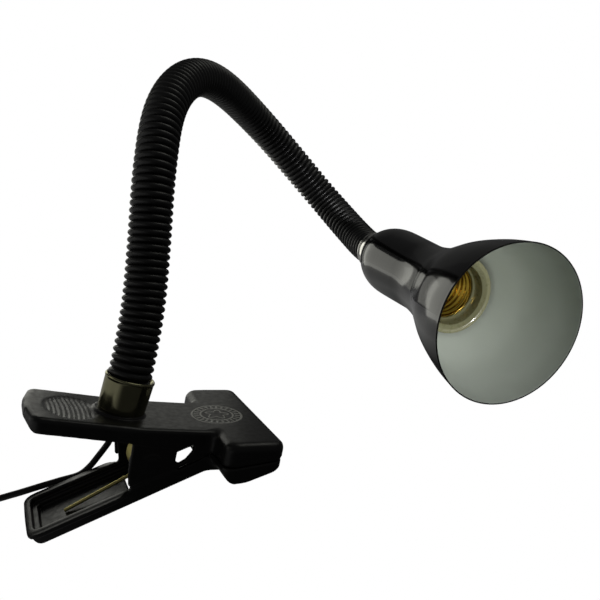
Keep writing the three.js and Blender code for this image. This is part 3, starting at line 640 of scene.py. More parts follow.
# %% [markdown]
# ## The clamp
# The upper moulding is handle, arm and wide nose in one; its handle rises 4 degrees to the rear
# from a crease under the neck. The lower one is a trough that slopes down to the rear, with the
# matching nose in front. Both turn on one pin. Each outline below is the moulding seen from
# above or from the side, with the radius of each corner beside it.

# %% Measures that both jaws share
STEP = 0.5  # the grid's spacing
RISE_ANGLE = math.radians(4.0)
RISE = math.tan(RISE_ANGLE)
PIN = np.array([13.5, -16.0])  # X and Z
PIN_HOLE = 2.08
NOSE_FRONT, NOSE_NEAR, NOSE_FAR = 66.4, -38.2, 38.8
NOSE_RADII = [6, 5.5, 5, 6]
NOSE_GAP = 0.12  # from the parting plane to each nose
# a grip pad's pocket: its middle in X, half its length, half its width, and its depth
PAD_AT, PAD_LONG, PAD_WIDE, PAD_DEEP = 54, 7.6, 34.3, 2.7


def top_at(x):
    """Height of the upper jaw's top plane: it rises to the rear of X 9."""
    return np.maximum(0, (9 - x) * RISE)


def part_at(x):
    """Height of the parting plane between the noses: 1 up in 5 forward."""
    return -5 + (x - 64.5) * 0.2


def nose_outline(rear):
    """The nose from above, from rear to NOSE_FRONT."""
    corners = [[rear, NOSE_NEAR], [NOSE_FRONT, NOSE_NEAR], [NOSE_FRONT, NOSE_FAR],
               [rear, NOSE_FAR]]
    return rounded(corners, NOSE_RADII, 9)


# %% Upper jaw: arm, nose and top
ARM_HALF = 19.7
ARM = [[-40.1, -6], [-37.2, -ARM_HALF], [46, -ARM_HALF], [46, ARM_HALF], [-37.2, ARM_HALF],
       [-40.1, 6]]
g = Field([-43.5, -40.2, -30.5], [69.5, 40.2, 6.5], STEP)
arm = g.plan(rounded(ARM, [14, 4.5, 0, 0, 4.5, 14], 9))
plan = soft_min(arm, g.plan(nose_outline(39.6)), 5.0)
top = g.side([[-60, top_at(-60)], [9, 0], [35, 0], [43, 1.2], [50, 1.8], [58, 2.3], [80, 3.7],
              [80, -90], [-60, -90]])
upper = soft_max(plan, top, 2.4 + np.clip((g.x - 36) / 5, 0, 1) * 1.6)
under = g.side([[-54, 1.5], [-41.4, -0.7], [-35.9, -3.7], [-19.4, -5.0], [-6, -6.2],
                [39.6, -9.6], [41, part_at(41) + NOSE_GAP], [90, part_at(90) + NOSE_GAP],
                [90, 60], [-54, 60]])
upper = soft_max(upper, under, 1.0)
print("upper jaw on", g.axes[0].size * g.axes[1].size * g.axes[2].size, "grid points")

# %% Upper jaw: cheeks, hollow, windows and pad pocket
CHEEK_OUT, WINDOW_IN, SKIN = 19.1, 15, 2.2
HOLLOW_REAR, HOLLOW_HALF, ROOM_HALF = -37.6, 17.4, 16.6
cheek = g.side(rounded([[4.1, -1], [4.1, -20.7], [5.2, -26.9], [34.5, -13.3], [39.8, -9.8],
                        [43, part_at(43) + 0.2], [43, -1]], [0, 2, 0.9, 5, 0, 0, 0], 7))
upper = soft_min(upper, soft_max(cheek, np.abs(g.y) - CHEEK_OUT, 1.0), 1.2)
hollow = g.side([[HOLLOW_REAR, top_at(HOLLOW_REAR) - SKIN], [9, -SKIN], [37.8, -SKIN],
                 [37.8, -80], [HOLLOW_REAR, -80]])
room = g.plan(rounded([[HOLLOW_REAR, -HOLLOW_HALF], [1.5, -HOLLOW_HALF], [1.5, -ROOM_HALF],
                       [60, -ROOM_HALF], [60, ROOM_HALF], [1.5, ROOM_HALF], [1.5, HOLLOW_HALF],
                       [HOLLOW_REAR, HOLLOW_HALF]], [5, 0, 0, 0, 0, 0, 0, 5], 7))
upper = soft_max(upper, -soft_max(hollow, room, 1.6), 0.6)
window = g.side(rounded([[23.9, -9.4], [30.0, -6.3], [31.0, -7.0], [30.7, -9.9], [28.2, -13.6],
                         [25.3, -15.6], [23.7, -14.4]], [0.8, 0.8, 0.6, 1.0, 1.2, 0.7, 0.7], 6))
upper = soft_max(upper, -np.maximum(window, WINDOW_IN - np.abs(g.y)), 0.7)
pocket = most(np.abs(g.x - PAD_AT) - PAD_LONG, np.abs(g.y) - PAD_WIDE,
              g.z - part_at(g.x) - PAD_DEEP)
upper = soft_max(upper, -pocket, 0.4)

# %% [markdown]
# The thumb rest on the handle is an oval sunk 0.6 mm with a soft rim, filled with ridges 2 mm
# apart that run nearly straight across. Ridges this size would be a picture on a poorer model;
# as a cosine added to the field they catch the light as the real ones do.

# %% Upper jaw: thumb rest
REST_X, REST_Y, REST_LONG, REST_WIDE = -21, -2, 12.1, 15.0
REST_DEEP, RIDGE, RIDGE_PITCH = 0.6, 0.5, 2.0
CLEAR_OF_FOOT = 12.4  # the rest fades out round the neck's foot
# the handle's own layout: tilt_x runs forward along its top and tilt_z stands square to it
tilt_x = g.x * math.cos(RISE_ANGLE) - (g.z - top_at(0)) * math.sin(RISE_ANGLE)
tilt_z = g.x * math.sin(RISE_ANGLE) + (g.z - top_at(0)) * math.cos(RISE_ANGLE)
foot = np.sqrt(tilt_x**2 + g.y**2)
oval = np.sqrt(((tilt_x - REST_X) / REST_LONG) ** 2 + ((g.y - REST_Y) / REST_WIDE) ** 2)
edge = np.clip((1 - oval) / 0.22, 0, 1)
edge = edge * edge * (3 - 2 * edge) * np.clip((foot - CLEAR_OF_FOOT) / 1.6, 0, 1)
slant = tilt_x + 0.065 * g.y + 0.006 * g.y**2
wave = 0.5 + 0.5 * np.cos(2 * math.pi * slant / RIDGE_PITCH)
fill = np.clip((0.93 - oval) / 0.12, 0, 1) * np.clip((foot - CLEAR_OF_FOOT) / 1.6, 0, 1)
surface_at = -REST_DEEP * edge + RIDGE * fill * wave**0.8
upper = np.maximum(upper, np.where(oval < 1.0, tilt_z - surface_at, -50))

# %% Upper jaw: boss for the neck, pin bosses and the moulding's gate
BOSS_R, NECK_HOLE, PIN_BOSS = 11.4, 4.3, 4.4
boss = soft_max(foot - BOSS_R, np.abs(tilt_z - 0.2) - 1.0, 0.8)
upper = soft_min(upper, boss, 0.9)
upper = np.maximum(upper, NECK_HOLE - foot + np.where(tilt_z < -8, -50, 0))
near_pin = np.sqrt((g.x - PIN[0]) ** 2 + (g.z - PIN[1]) ** 2)
pin_boss = soft_max(near_pin - PIN_BOSS, np.abs(np.abs(g.y) - 18.6) - 0.6, 0.5)
upper = soft_min(upper, pin_boss, 0.8)
upper = np.maximum(upper, PIN_HOLE - near_pin)
rear_dot = np.sqrt((g.y + 8) ** 2 + (g.z - 1.9) ** 2 + (g.x + 40.0) ** 2)
upper = np.maximum(upper, 0.8 - rear_dot)
points, faces = g.net(upper)
make("upper_jaw_moulding", points, faces, PLASTIC, "clamp", ["upper_jaw"])

# %% [markdown]
# The lower handle is easier to draw along its own slope than along X. `tray()` takes a point u
# down the handle from the pin and v square to it, and the fields u and v below say where each
# grid point lies in that slanted layout.

# %% Lower jaw: body, trough and lip
SLOPE = math.radians(27)
U = np.array([-math.cos(SLOPE), -math.sin(SLOPE)])
V = np.array([-math.sin(SLOPE), math.cos(SLOPE)])
TRAY_END, TRAY_LOW, TRAY_HIGH, TRAY_HALF = 55.6, -15.2, -8.8, 16.2


def tray(u, v):
    """A point u down the lower handle from the pin and v square to it, as X and Z."""
    return (PIN + u * U + v * V).tolist()


g = Field([-44.0, -40.2, -55.5], [69.5, 40.2, -3.0], STEP)
sx, sz = g.x - PIN[0], g.z - PIN[1]
u, v = sx * U[0] + sz * U[1], sx * V[0] + sz * V[1]
body = g.side(rounded([tray(TRAY_END, TRAY_LOW), tray(-37, TRAY_LOW), [49, -15],
                       [49, part_at(49) - 0.4], [41, part_at(41) - 0.4],
                       [40.6, part_at(41) - 0.4], tray(-22, TRAY_HIGH),
                       tray(TRAY_END, TRAY_HIGH)], [4.2, 0, 0, 0, 0, 0, 2, 1.2], 8))
width = np.abs(g.y) - TRAY_HALF
lower = soft_max(body, soft_max(width, u - TRAY_END, 5.0), 1.0)
# the trough's rim, turned outward as a flat lip
lip_plan = soft_max(np.abs(g.y) - 19.2, u - 56.6 + 0.0012 * g.y**2, 5.8)
lip_plan = soft_max(lip_plan, 13.5 - u, 5.8)
lower = soft_min(lower, soft_max(lip_plan, np.abs(v + 9.6) - 0.9, 0.6), 1.2)

# %% Lower jaw: lugs and nose
lug = g.side(rounded([tray(-10, -10), tray(-7, 0), tray(-7, 7), tray(7, 7), tray(9.5, 0.5),
                      tray(12.6, -12)], [0, 3, 6.5, 5, 3, 0], 8))
lower = soft_min(lower, soft_max(lug, width, 0.6), 1.5)
nose_side = g.side(rounded([[38.2, part_at(39.4) + 6], [38.2, -11.4], [43.6, -17.0],
                            [50.5, -15.9], [NOSE_FRONT, -9.2], [NOSE_FRONT, 4]],
                           [0, 2.5, 4.5, 14, 1.6, 0], 8))
nose = soft_max(nose_side, g.plan(nose_outline(38.8)), 2.2)
below = g.side([[0, part_at(0) - NOSE_GAP], [90, part_at(90) - NOSE_GAP], [90, -90], [0, -90]])
nose = soft_max(nose, below, 0.7)
# a wide fillet where the nose's low part meets the trough, and a small one all round
lower = np.minimum(soft_min(lower, soft_max(nose, g.z + 14.8, 1.5), 7.0),
                   soft_min(lower, nose, 2.0))

# %% Lower jaw: the trough's inside, slots and holes
LEDGE, TRAY_FLOOR = 10.9, 13.2  # depths of the ledge and the floor below the pin's line
inner = soft_max(np.abs(g.y) - 14.0, u - 53.4, 3.5)
deep = soft_max(np.abs(g.y) - 11.7, u - 51.0, 3.0)
front = -u - 20.0
lower = soft_max(lower, -most(inner, -(v + LEDGE), front), 0.5)
lower = soft_max(lower, -most(deep, -(v + TRAY_FLOOR), front), 0.7)
lower = np.maximum(lower, -most(np.abs(g.y) - 13.9, -(v + LEDGE), np.abs(u) - 12))
slot_front = soft_max(np.abs(g.y) - 11.5, np.abs(u + 14.5) - 8.5, 3.0)
slot_pin = soft_max(np.abs(g.y) - 8, np.abs(u - 8) - 4.2, 2.5)
slots = np.maximum(soft_min(slot_front, slot_pin, 0.1), np.abs(v + 14.5) - 4)
lower = soft_max(lower, -slots, 0.6)
pocket = most(np.abs(g.x - PAD_AT) - PAD_LONG, np.abs(g.y) - PAD_WIDE,
              part_at(g.x) - PAD_DEEP - g.z)
lower = soft_max(lower, -pocket, 0.4)
lower = np.maximum(lower, PIN_HOLE - np.sqrt(sx**2 + sz**2))
points, faces = g.net(lower)
make("lower_jaw_moulding", points, faces, PLASTIC, "jaw", ["lower_jaw"])

# %% [markdown]
# ## Pin and spring
# The spring is five turns of plated wire round the pin. One leg presses on the trough, the
# other hooks under the handle. A leg leaves the coil as a tangent does, so its angle on the
# coil is worked out from where it has to end.

# %% Pin
PIN_PROFILE = [[0, -19.5], [1.6, -19.49], [2.9, -19.4], [3.2, -19.28], [3.25, -19.2],
               [2.0, -19.2], [2.0, 20.1], [1.7, 20.45], [0, 20.5]]
points, faces = turned(PIN_PROFILE, (0, 1, 0), (PIN[0], 0, PIN[1]), 48)
make("pivot_pin_turned", points, faces, PLAIN_BLACK, "clamp", ["pivot_pin"])

# %% Spring
SPRING_R, WIRE_R, TURNS = 7.4, 0.82, 5
LEG_OVER = 0.98  # from a leg's middle to the wall that it presses on
WOUND_Y = -3.0, -12.2
leg_end = np.array(tray(40.5, TRAY_LOW + 2 + LEG_OVER))
plate_end = np.array([-15.0, top_at(-15.0) - SKIN - LEG_OVER])


def touching(p, side):
    """The angle on the coil where a straight leg to p leaves it: p's own bearing from the pin,
    plus or minus the angle whose cosine is the coil's radius over p's distance."""
    d = np.asarray(p, float) - PIN
    return math.atan2(d[1], d[0]) + side * math.acos(SPRING_R / np.hypot(*d))


start, stop = touching(leg_end, 1), touching([2, -7.8], -1)
swing = -2 * math.pi * TURNS - ((start - stop) % (2 * math.pi))
a = np.linspace(start, start + swing, 200)
coil = np.column_stack([PIN[0] + SPRING_R * np.cos(a), np.linspace(*WOUND_Y, 200),
                        PIN[1] + SPRING_R * np.sin(a)])
tip = np.array([leg_end[0], -2.0, leg_end[1]])
leg = coil[0] + (tip - coil[0]) * np.linspace(1, 0.03, 30)[:, None]
tail = catmull([coil[-1], [8.5, -12.3, -8.4], [2, -12.4, -7.4], [-6, -12.4, -4.7],
                [plate_end[0], -12.4, plate_end[1]]], 12)[1:]
wire = evenly(np.vstack([leg, coil, tail]), 0.5)
points, faces = along(wire, WIRE_R, 14)
# on the real clamp the tail stays with the clamp and the long leg goes with the lower jaw; here
# the spring is one piece on no body
spring = make("torsion_spring_wire", points, faces, ZINC, None, ["torsion_spring"])
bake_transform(spring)

# %% [markdown]
# ## Cords
# One 3 mm round cord leaves under the arm behind the neck and runs down to the in-line switch.
# Another goes from the switch to a tied coil of three nested layers and on to the plug. A cloth or
# rope simulation would settle them too, but not with a known length. So each cord is one smooth
# line through chosen points, and where it lies it is a cord's radius above the ground.

# %% One cord
CORD_R = 1.5
COIL = np.array([-90.0, 58.0])  # the coil's centre, X and Y
SWITCH_X, SWITCH_Z = -57, FLOOR + 6  # where the cord runs into the switch
PLUG = np.array([-94.2, 31.3, FLOOR + 6.85])
PLUG_WAY = np.array([math.cos(math.radians(-60)), math.sin(math.radians(-60)), 0])
lie = FLOOR + CORD_R + 0.1


def cord_piece(name, line, replaces):
    """A round cord along line, resampled every 0.8 mm."""
    line = evenly(line, 0.8)
    points, faces = along(line, CORD_R, 20)
    obj = make(name, points, faces, CORD, "clamp", replaces)
    return obj


# %% From the lamp to the switch
lamp_run = catmull([
    [-1, 12.2, -7.0], [-1, 12.3, -8.6], [0.2, 14.5, -13], [1.9, 18.5, -18.5],
    [2.1, 20.9, -22.3], [1.2, 21.2, -24.4], [-1.7, 21.1, -29.5], [-5, 21.1, -34.9],
    [-8.8, 21.1, -38.7], [-17.9, 21.1, -42], [-26.4, 21.1, -45], [-37, 21.3, -48.9],
    [-46, 22.2, lie + 0.3], [-53, 25.7, lie], [-57, 32, lie + 3.2], [SWITCH_X, 35, SWITCH_Z],
    [SWITCH_X, 37.95, SWITCH_Z]], 20)
cord_piece("lamp_cord", lamp_run, ["cord_lamp_run"])

# %% [markdown]
# The coil is written as stations: an angle in degrees, the radius there and the height of the
# cord's centre above the lowest turn. The first layer climbs for three turns, the next comes
# down inside it, the third climbs again, and the end goes over the top and down outside. Radius
# eases from station to station; height rises evenly along a layer.

# %% The coil
low, step_up = FLOOR + 2.75, 3.05
top_turn = 3 * step_up
stations = [(180, 20, 0), (1260, 20, top_turn), (1320, 16.95, top_turn), (2400, 16.95, 0),
            (2460, 13.9, 0), (3540, 13.9, top_turn), (3600, 13.9, top_turn + 3.1),
            (3960, 23.3, top_turn + 3.1), (4110, 23.3, 3.8), (4200, 23.3, 3.6)]
angle, radius, rise = (np.array(c, float) for c in zip(*stations))
swept = np.arange(180, 4200.1, 3.0)
EASE_AT = np.linspace(0, 1, 101)
EASE = 6 * EASE_AT**5 - 15 * EASE_AT**4 + 10 * EASE_AT**3


def between(values, straight):
    """values at every swept angle. From one station to the next they go in proportion where
    straight, and otherwise by 6 t^5 - 15 t^4 + 10 t^3, which starts and ends at rest."""
    out = np.empty_like(swept)
    for i in range(len(angle) - 1):
        on = (swept >= angle[i]) & (swept <= angle[i + 1])
        t = (swept[on] - angle[i]) / (angle[i + 1] - angle[i])
        t = t if straight(i) else np.interp(t, EASE_AT, EASE)
        out[on] = values[i] + (values[i + 1] - values[i]) * t
    return out


r = between(radius, lambda i: False)
h = between(rise, lambda i: abs(angle[i + 1] - angle[i]) > 900)
turn_a = np.radians(swept)
coil_line = np.column_stack([COIL[0] + r * np.cos(turn_a), COIL[1] + r * np.sin(turn_a),
                             low + h])

# %% From the switch through the coil to the plug
switch_run = catmull([
    [SWITCH_X, 92.05, SWITCH_Z], [SWITCH_X, 95, SWITCH_Z], [-57.6, 100, lie + 2],
    [-63, 109, lie], [-77, 117, lie], [-96, 113, lie], [-108, 101, lie + 0.5],
    [-110, 86, low], [-110, 70.5, low], [-110, 58, low]], 20)
entry = [PLUG - d * PLUG_WAY for d in (5.5, 2.5, 0.05)]
plug_run = catmull([coil_line[-3], coil_line[-1], [-99.2, 37.0, FLOOR + 6.6], *entry], 20)
whole_run = np.vstack([switch_run[:-1], coil_line[:-1], plug_run[20:]])
cord_piece("mains_cord", whole_run, ["cord_switch_run", "cord_coil", "cord_plug_run"])

# %% The tie, a flat band right round the coil's cords
BAND_HALF, BAND_THICK_HALF = 2.5, 0.35
loop = rounded([[11.5, 0.15], [25.4, 0.15], [25.4, 16.9], [11.5, 16.9]], 1.6, 6)
loop = np.vstack([loop, loop[:1]])
loop = evenly(np.column_stack([loop[:, 0], 0 * loop[:, 0], loop[:, 1]]), 0.6)[:-1]
way = unit(np.roll(loop, -1, 0) - np.roll(loop, 1, 0))
outward = np.column_stack([way[:, 2], 0 * way[:, 0], -way[:, 0]])
section = rounded([[-BAND_HALF, -BAND_THICK_HALF], [BAND_HALF, -BAND_THICK_HALF],
                   [BAND_HALF, BAND_THICK_HALF], [-BAND_HALF, BAND_THICK_HALF]], 0.25, 3)
points = (loop[:, None] + section[None, :, 0:1] * np.array([0, 1.0, 0])
          + section[None, :, 1:2] * outward[:, None])
points = points.reshape(-1, 3) + [COIL[0], COIL[1], FLOOR + 0.3]
faces = facing_out(points, grid_faces(len(loop), len(section), True, True))
make("cord_tie_band", points, faces, CORD, "clamp", ["cord_tie"])

# %% [markdown]
# ## Ferrule
# A turned cup of dark chrome with a rolled lip stands on the arm and takes the neck's foot. It
# leans as the neck does where it comes out. The profile goes once round the metal, up the
# outside, over the lip and down the bore, so the turned surface is closed.

# %% Ferrule
LEAN = math.radians(7.0)
foot_at = np.array([0.7, 0, top_at(0.0) + 0.1])
FERRULE = [[4.05, 0.6], [9.9, 0.6], [10.3, 0.9], [10.45, 1.6], [10.5, 4.0], [10.65, 8.0],
           [10.75, 12.0], [10.8, 14.2], [10.82, 15.0], [11.0, 15.2], [11.1, 15.6],
           [11.0, 16.0], [10.75, 16.3], [10.4, 16.4], [9.95, 16.2], [9.85, 4.25],
           [4.05, 4.25]]
points, faces = turned(FERRULE, unit([math.sin(LEAN), 0, math.cos(LEAN)]), foot_at, 128, True)
make("ferrule_turned", points, facing_out(points, faces), CHROME, "clamp", ["ferrule"])

# %% [markdown]
# ## Gooseneck
# The neck follows one smooth line from the ferrule to the head. Its sleeve is ringed all along by
# 114 rounded ribs with narrow grooves, over a steel core that holds the bend. A bump in the
# material could fake the ribs, but not their outline. Five lengths of sleeve each span one joint
# and meet in a groove; here they ride on no body.

# %% The neck's line
NECK_LONG = 389.28
CENTRE_LINE = [[0.75, 0, 2.6], [2.5, 0, 18.5], [4.7, 6, 46.3], [4.3, 11.8, 72.5],
               [3.1, 20.8, 109.9], [7.4, 37.2, 137.4], [23.1, 63.4, 156.4],
               [43.3, 85.2, 160.2], [83.3, 112.3, 146.1], [130.1, 108.1, 111.5],
               [144, 83, 93.3]]


def softened(line, width):
    """line (evenly spaced at 0.25 mm) averaged over a bell, exp(-(distance / width)^2 / 2), its
    ends mirrored through themselves."""
    n = int(width * 4 * 3)
    k = np.exp(-0.5 * (np.arange(-n, n + 1) / (width * 4)) ** 2)
    k /= k.sum()
    padded = np.vstack([2 * line[0] - line[n:0:-1], line, 2 * line[-1] - line[-2 : -n - 2 : -1]])
    return np.column_stack([np.convolve(padded[:, i], k, "valid") for i in range(3)])


head_run = [(RING_BACK + d * HEAD_AXIS).tolist() for d in (-8, 0, 8)]
neck_line = softened(evenly(catmull([*CENTRE_LINE, *head_run], 80), 0.25), 6.0)
neck_s = travelled(neck_line)
neck_s *= NECK_LONG / neck_s[-1]
neck_n, neck_b = frames(neck_line)[1:]
print("neck line of", len(neck_line), "points")


def neck_at(s, field=None):
    """The neck's centre, or another field carried along it, at distance s."""
    field = neck_line if field is None else field
    return np.column_stack([np.interp(s, neck_s, field[:, k]) for k in range(3)])


# %% A tube along it
def pipe(name, s, outer, inner, around, material, nodes):
    """A closed tube along the neck with radius outer at each s and a bore: point = centre + radius
    * spoke. It hides the solids in nodes and rides on no body."""
    c, n, b = neck_at(s), unit(neck_at(s, neck_n)), unit(neck_at(s, neck_b))
    spoke = spokes_along(n, b, around)
    shell = c[:, None] + outer[:, None, None] * spoke
    keep = np.unique(np.r_[np.arange(0, len(s), 6), len(s) - 1])[::-1]
    bore = c[keep, None] + inner * spoke[keep]
    points = np.vstack([shell.reshape(-1, 3), bore.reshape(-1, 3)])
    faces = facing_out(points, grid_faces(len(s) + len(keep), around, True, True))
    obj = make(name, points, faces, material, None, nodes)
    obj.data.set_sharp_from_angle(angle=math.radians(60))
    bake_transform(obj)


# %% Sleeve and core
RIBS, FIRST, LAST = 114, 4.2, 381.15
PITCH = (LAST - FIRST) / RIBS
GROOVE_R, RIB_HIGH, SLEEVE_BORE = 8.25, 1.5, 7.9
CORE_R, WINDING_HIGH, WINDING_PITCH, CORE_BORE = 7.15, 0.3, 2.4, 4.3
PER_RIB, AROUND = ((12, 84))
# first and last rib, the joint's distance along the neck, and the bodies before and after it
NECK_PIECES = [(0, 27, 68, "clamp", "neck_2"), (27, 43, 122, "neck_2", "neck_3"),
               (43, 58, 170, "neck_3", "neck_4"), (58, 76, 224, "neck_4", "neck_5"),
               (76, 114, 288, "neck_5", "head")]
# radius = groove + height * sin(pi p)^0.75, p the place in the rib from groove to groove
phase = np.linspace(0, 1, PER_RIB, endpoint=False)
swell = np.sin(math.pi * phase) ** 0.75
for k, (first, last, joint, *bodies) in enumerate(NECK_PIECES, 1):
    near, far = FIRST + first * PITCH, FIRST + last * PITCH
    solids = [k] if k < 5 else [5, 6]  # the last length stands for two solids of the frame
    ribs = np.arange(first, last)
    s = (FIRST + (ribs[:, None] + phase[None]) * PITCH).ravel()
    out = np.tile(GROOVE_R + RIB_HIGH * swell, len(ribs))
    s, out = np.r_[s, far - 0.004], np.r_[out, GROOVE_R]
    pipe(f"neck_sleeve_length_{k}", s, out, SLEEVE_BORE, AROUND, RIBBED,
         [f"neck_sleeve_{i}" for i in solids])
    s = np.r_[np.arange(near + 0.01, far - 0.4, 0.6), far - 0.02]
    wound = CORE_R + WINDING_HIGH * np.abs(np.cos(math.pi * s / WINDING_PITCH))
    pipe(f"neck_core_length_{k}", s, wound, CORE_BORE, 24, STEEL,
         [f"neck_core_{i}" for i in solids])

# %% [markdown]
# ## Head
# Everything here is turned about the head's own axis and measured forward from the back of the
# silver collar. The shade is spun metal about a millimetre thick, glossy outside and white
# inside, with a thin dull edge at its lip. One profile goes round all three, and each face's
# place on it says which finish it has. A separate inner shell would be simpler to paint, but
# the two would meet in a seam.


# %% Collar and shade
def head_turned(name, profile, material, nodes, around, places=None, closed=True):
    """A turned piece on the head's axis; profile holds (radius, distance forward)."""
    points, faces = turned(profile, HEAD_AXIS, RING_BACK, around, closed)
    return make(name, points, faces, material, "head", nodes,
                places=None if places is None else np.repeat(places, around))


COLLAR = [[4.05, 0], [10.3, 0], [10.7, 0.15], [10.85, 0.5], [10.9, 1.2], [10.72, 1.45],
          [10.72, 1.7], [10.95, 1.95], [11.3, 5.0], [11.4, 8.2], [11.3, 8.65], [11.05, 8.8],
          [10.98, 8.7], [10.98, 4.97], [4.05, 4.97]]
head_turned("silver_collar", COLLAR, SILVER, ["end_ring"], 128)
SHADE_WALL, LIP_WALL = 1.15, 0.62
spigot = [[4.05, 5.0], [10.9, 5.0], [10.9, 8.9]]
outer = catmull([
    [11.5, 8.95], [12.4, 9.4], [13.2, 10.4], [14.0, 11.8], [15.5, 15.2], [16.6, 18],
    [17.5, 21], [18.25, 25], [18.6, 30], [18.5, 38], [18.3, 46], [18.1, 54], [17.95, 61],
    [18.2, 66], [19.5, 75], [21.9, 85], [24.4, 91], [26.9, 97], [29.3, 103], [31.5, 110],
    [34.2, 121], [35.4, 128], [35.95, 132.3]], 5)
lip = [[36.05, 132.7], [36.08, 132.95], [35.98, 133.1], [35.8, 133.15], [35.6, 133.08],
       [35.5, 132.9], [35.42, 132.5]]
tangent = unit(np.gradient(outer, axis=0))
wall = np.interp(outer[:, 1], [0, 118, 131], [SHADE_WALL, SHADE_WALL, LIP_WALL])[:, None]
inner = (outer - wall * np.column_stack([tangent[:, 1], -tangent[:, 0]]))[::-1]
inner = inner[(inner[:, 1] < 131.8) & (inner[:, 1] > 10.6)]
profile = np.vstack([spigot, outer, lip, inner, [[9.8, 8.4], [9.8, 6.95], [4.05, 6.9]]])
lip_from = len(spigot) + len(outer) - 1
lip_to = lip_from + 6
places = np.ones(len(profile))  # 0 the gloss, 1 the lining, 2 the lip's edge
places[:lip_from], places[lip_from:lip_to] = 0, 2
head_turned("bell_shade", profile, [GLOSS, LINING, EDGE], ["shade"],
            200, places)

# %% [markdown]
# The lampholder is a porcelain cup with a brass screw shell pressed into it. The cup is turned
# like the shade. A thread isn't round, so turning can't make the shell: its radius is a
# function of both the angle and the height, which a screw modifier could also give, but not
# fading out toward the mouth as a rolled thread does.

# %% Lampholder
HOLDER_BACK = [[0, 44.0], [14.6, 44.0], [15.3, 44.4], [15.6, 45.4]]
rim = rounded([[15.6, 84], [19.4, 84.6], [19.4, 90], [17.0, 90], [15.2, 88.4], [14.6, 84.5],
               [14.2, 83.4], [13.6, 82.6], [13.45, 80]], [1.5, 1.6, 1.2, 1.1, 1, 0.6, 0.5, 0.4, 0],
              6)
profile = np.vstack([HOLDER_BACK, rim, [[13.45, 56.5], [0, 56.5]]])
head_turned("porcelain_body", profile, PORCELAIN, ["lampholder_body"], 128,
            closed=False)


# %% Screw shell
def threaded(radius, depth, pitch, back, front, around=96):
    """A screw shell: the radius shrinks by depth / 2 * (1 - cos(2 pi height / pitch - angle)),
    which fades out near the mouth, with a 0.4 mm wall inside it."""
    z = np.arange(back, front + 1e-6, 0.22)
    a = np.linspace(0, 2 * math.pi, around, endpoint=False)
    fade = np.clip((front - 1.2 - z) / 1.2, 0, 1)[:, None]
    r = radius - depth / 2 * (1 - np.cos(2 * math.pi * (z[:, None] / pitch) - a[None])) * fade
    spoke = spokes_round(*across(HEAD_AXIS), around)
    outside, inside = (RING_BACK + z[:, None, None] * HEAD_AXIS + one[:, :, None] * spoke[None]
                       for one in (r, r - 0.4))
    points = np.vstack([outside.reshape(-1, 3), inside[::-1].reshape(-1, 3)])
    return points, facing_out(points, grid_faces(2 * len(z), around, True, True))


THREAD_R, THREAD_DEEP, THREAD_PITCH = 13.38, 1.25, 3.62
SHELL_BACK, SHELL_FRONT = 58.1, 82.0
points, faces = threaded(THREAD_R, THREAD_DEEP, THREAD_PITCH, SHELL_BACK, SHELL_FRONT)
make("thread_shell_rolled", points, faces, BRASS, "head", ["thread_shell"])

# %% [markdown]
# ## Small fittings kept from the solid model
# Screws, nuts, pads, leads, switch and plug are the right shape already, but their edges are
# perfectly sharp, and no real edge is. A bevel on a welded mesh rounds them, and weighted
# normals keep the flats flat.

# %% Fittings
FINISH = {
    "upper_grip_pad": RUBBER, "lower_grip_pad": RUBBER, "pin_retainer": STEEL,
    "base_washer": STEEL, "base_nut": STEEL, "neck_base_nipple": STEEL,
    "cord_outlet_bush": PLAIN_BLACK, "shade_lock_nut": STEEL, "neck_end_nipple": STEEL,
    "bracket_lock_nut": STEEL, "holder_bracket": STEEL, "bracket_screw_1": STEEL,
    "bracket_screw_2": STEEL, "terminal_screw_1": BRASS, "terminal_screw_2": BRASS,
    "centre_contact": BRASS, "live_lead": BROWN, "neutral_lead": BLUE,
    "switch_housing_upper": PLAIN_BLACK, "switch_housing_lower": PLAIN_BLACK,
    "switch_screw": STEEL, "switch_rocker": GLOSS, "plug_body": PLAIN_BLACK,
    "plug_pin_1": STEEL, "plug_pin_2": STEEL,
}
SOFT = {"switch_housing_upper": 0.9, "switch_housing_lower": 0.9, "plug_body": 1.2,
        "plug_pin_1": 0.7, "plug_pin_2": 0.7, "switch_rocker": 0.35}  # others: SOFT_REST
SOFT_REST = 0.18
for name, material in FINISH.items():
    obj = NODES[name]
    data = obj.data
    data.materials.clear()
    data.materials.append(material)
    data.polygons.foreach_set("material_index", np.zeros(len(data.polygons), np.int32))
    data.polygons.foreach_set("use_smooth", np.ones(len(data.polygons), bool))
    weld = obj.modifiers.new("weld", "WELD")
    weld.merge_threshold = 0.00001
    bevel = obj.modifiers.new("edge", "BEVEL")
    bevel.width = SOFT.get(name, SOFT_REST) / 1000
    bevel.segments = 3
    bevel.limit_method = "ANGLE"
    bevel.angle_limit = math.radians(38)
    normals = obj.modifiers.new("normals", "WEIGHTED_NORMAL")
    normals.keep_sharp = False
print(len(FINISH), "fittings finished")

# %% [markdown]
# ## Studio
# Ground and air are plain white where the camera looks at them. Black gloss shows whatever
# stands round it, so for everything but the camera the air is nearly dark, the ground is dark in
# front and pale behind, and a few soft panels give the highlights: a large one behind with a
# faint one beside it, one overhead, one to the left and a small one behind the arm. Light Path
# tells what kind of ray asks, and so chooses between the two.

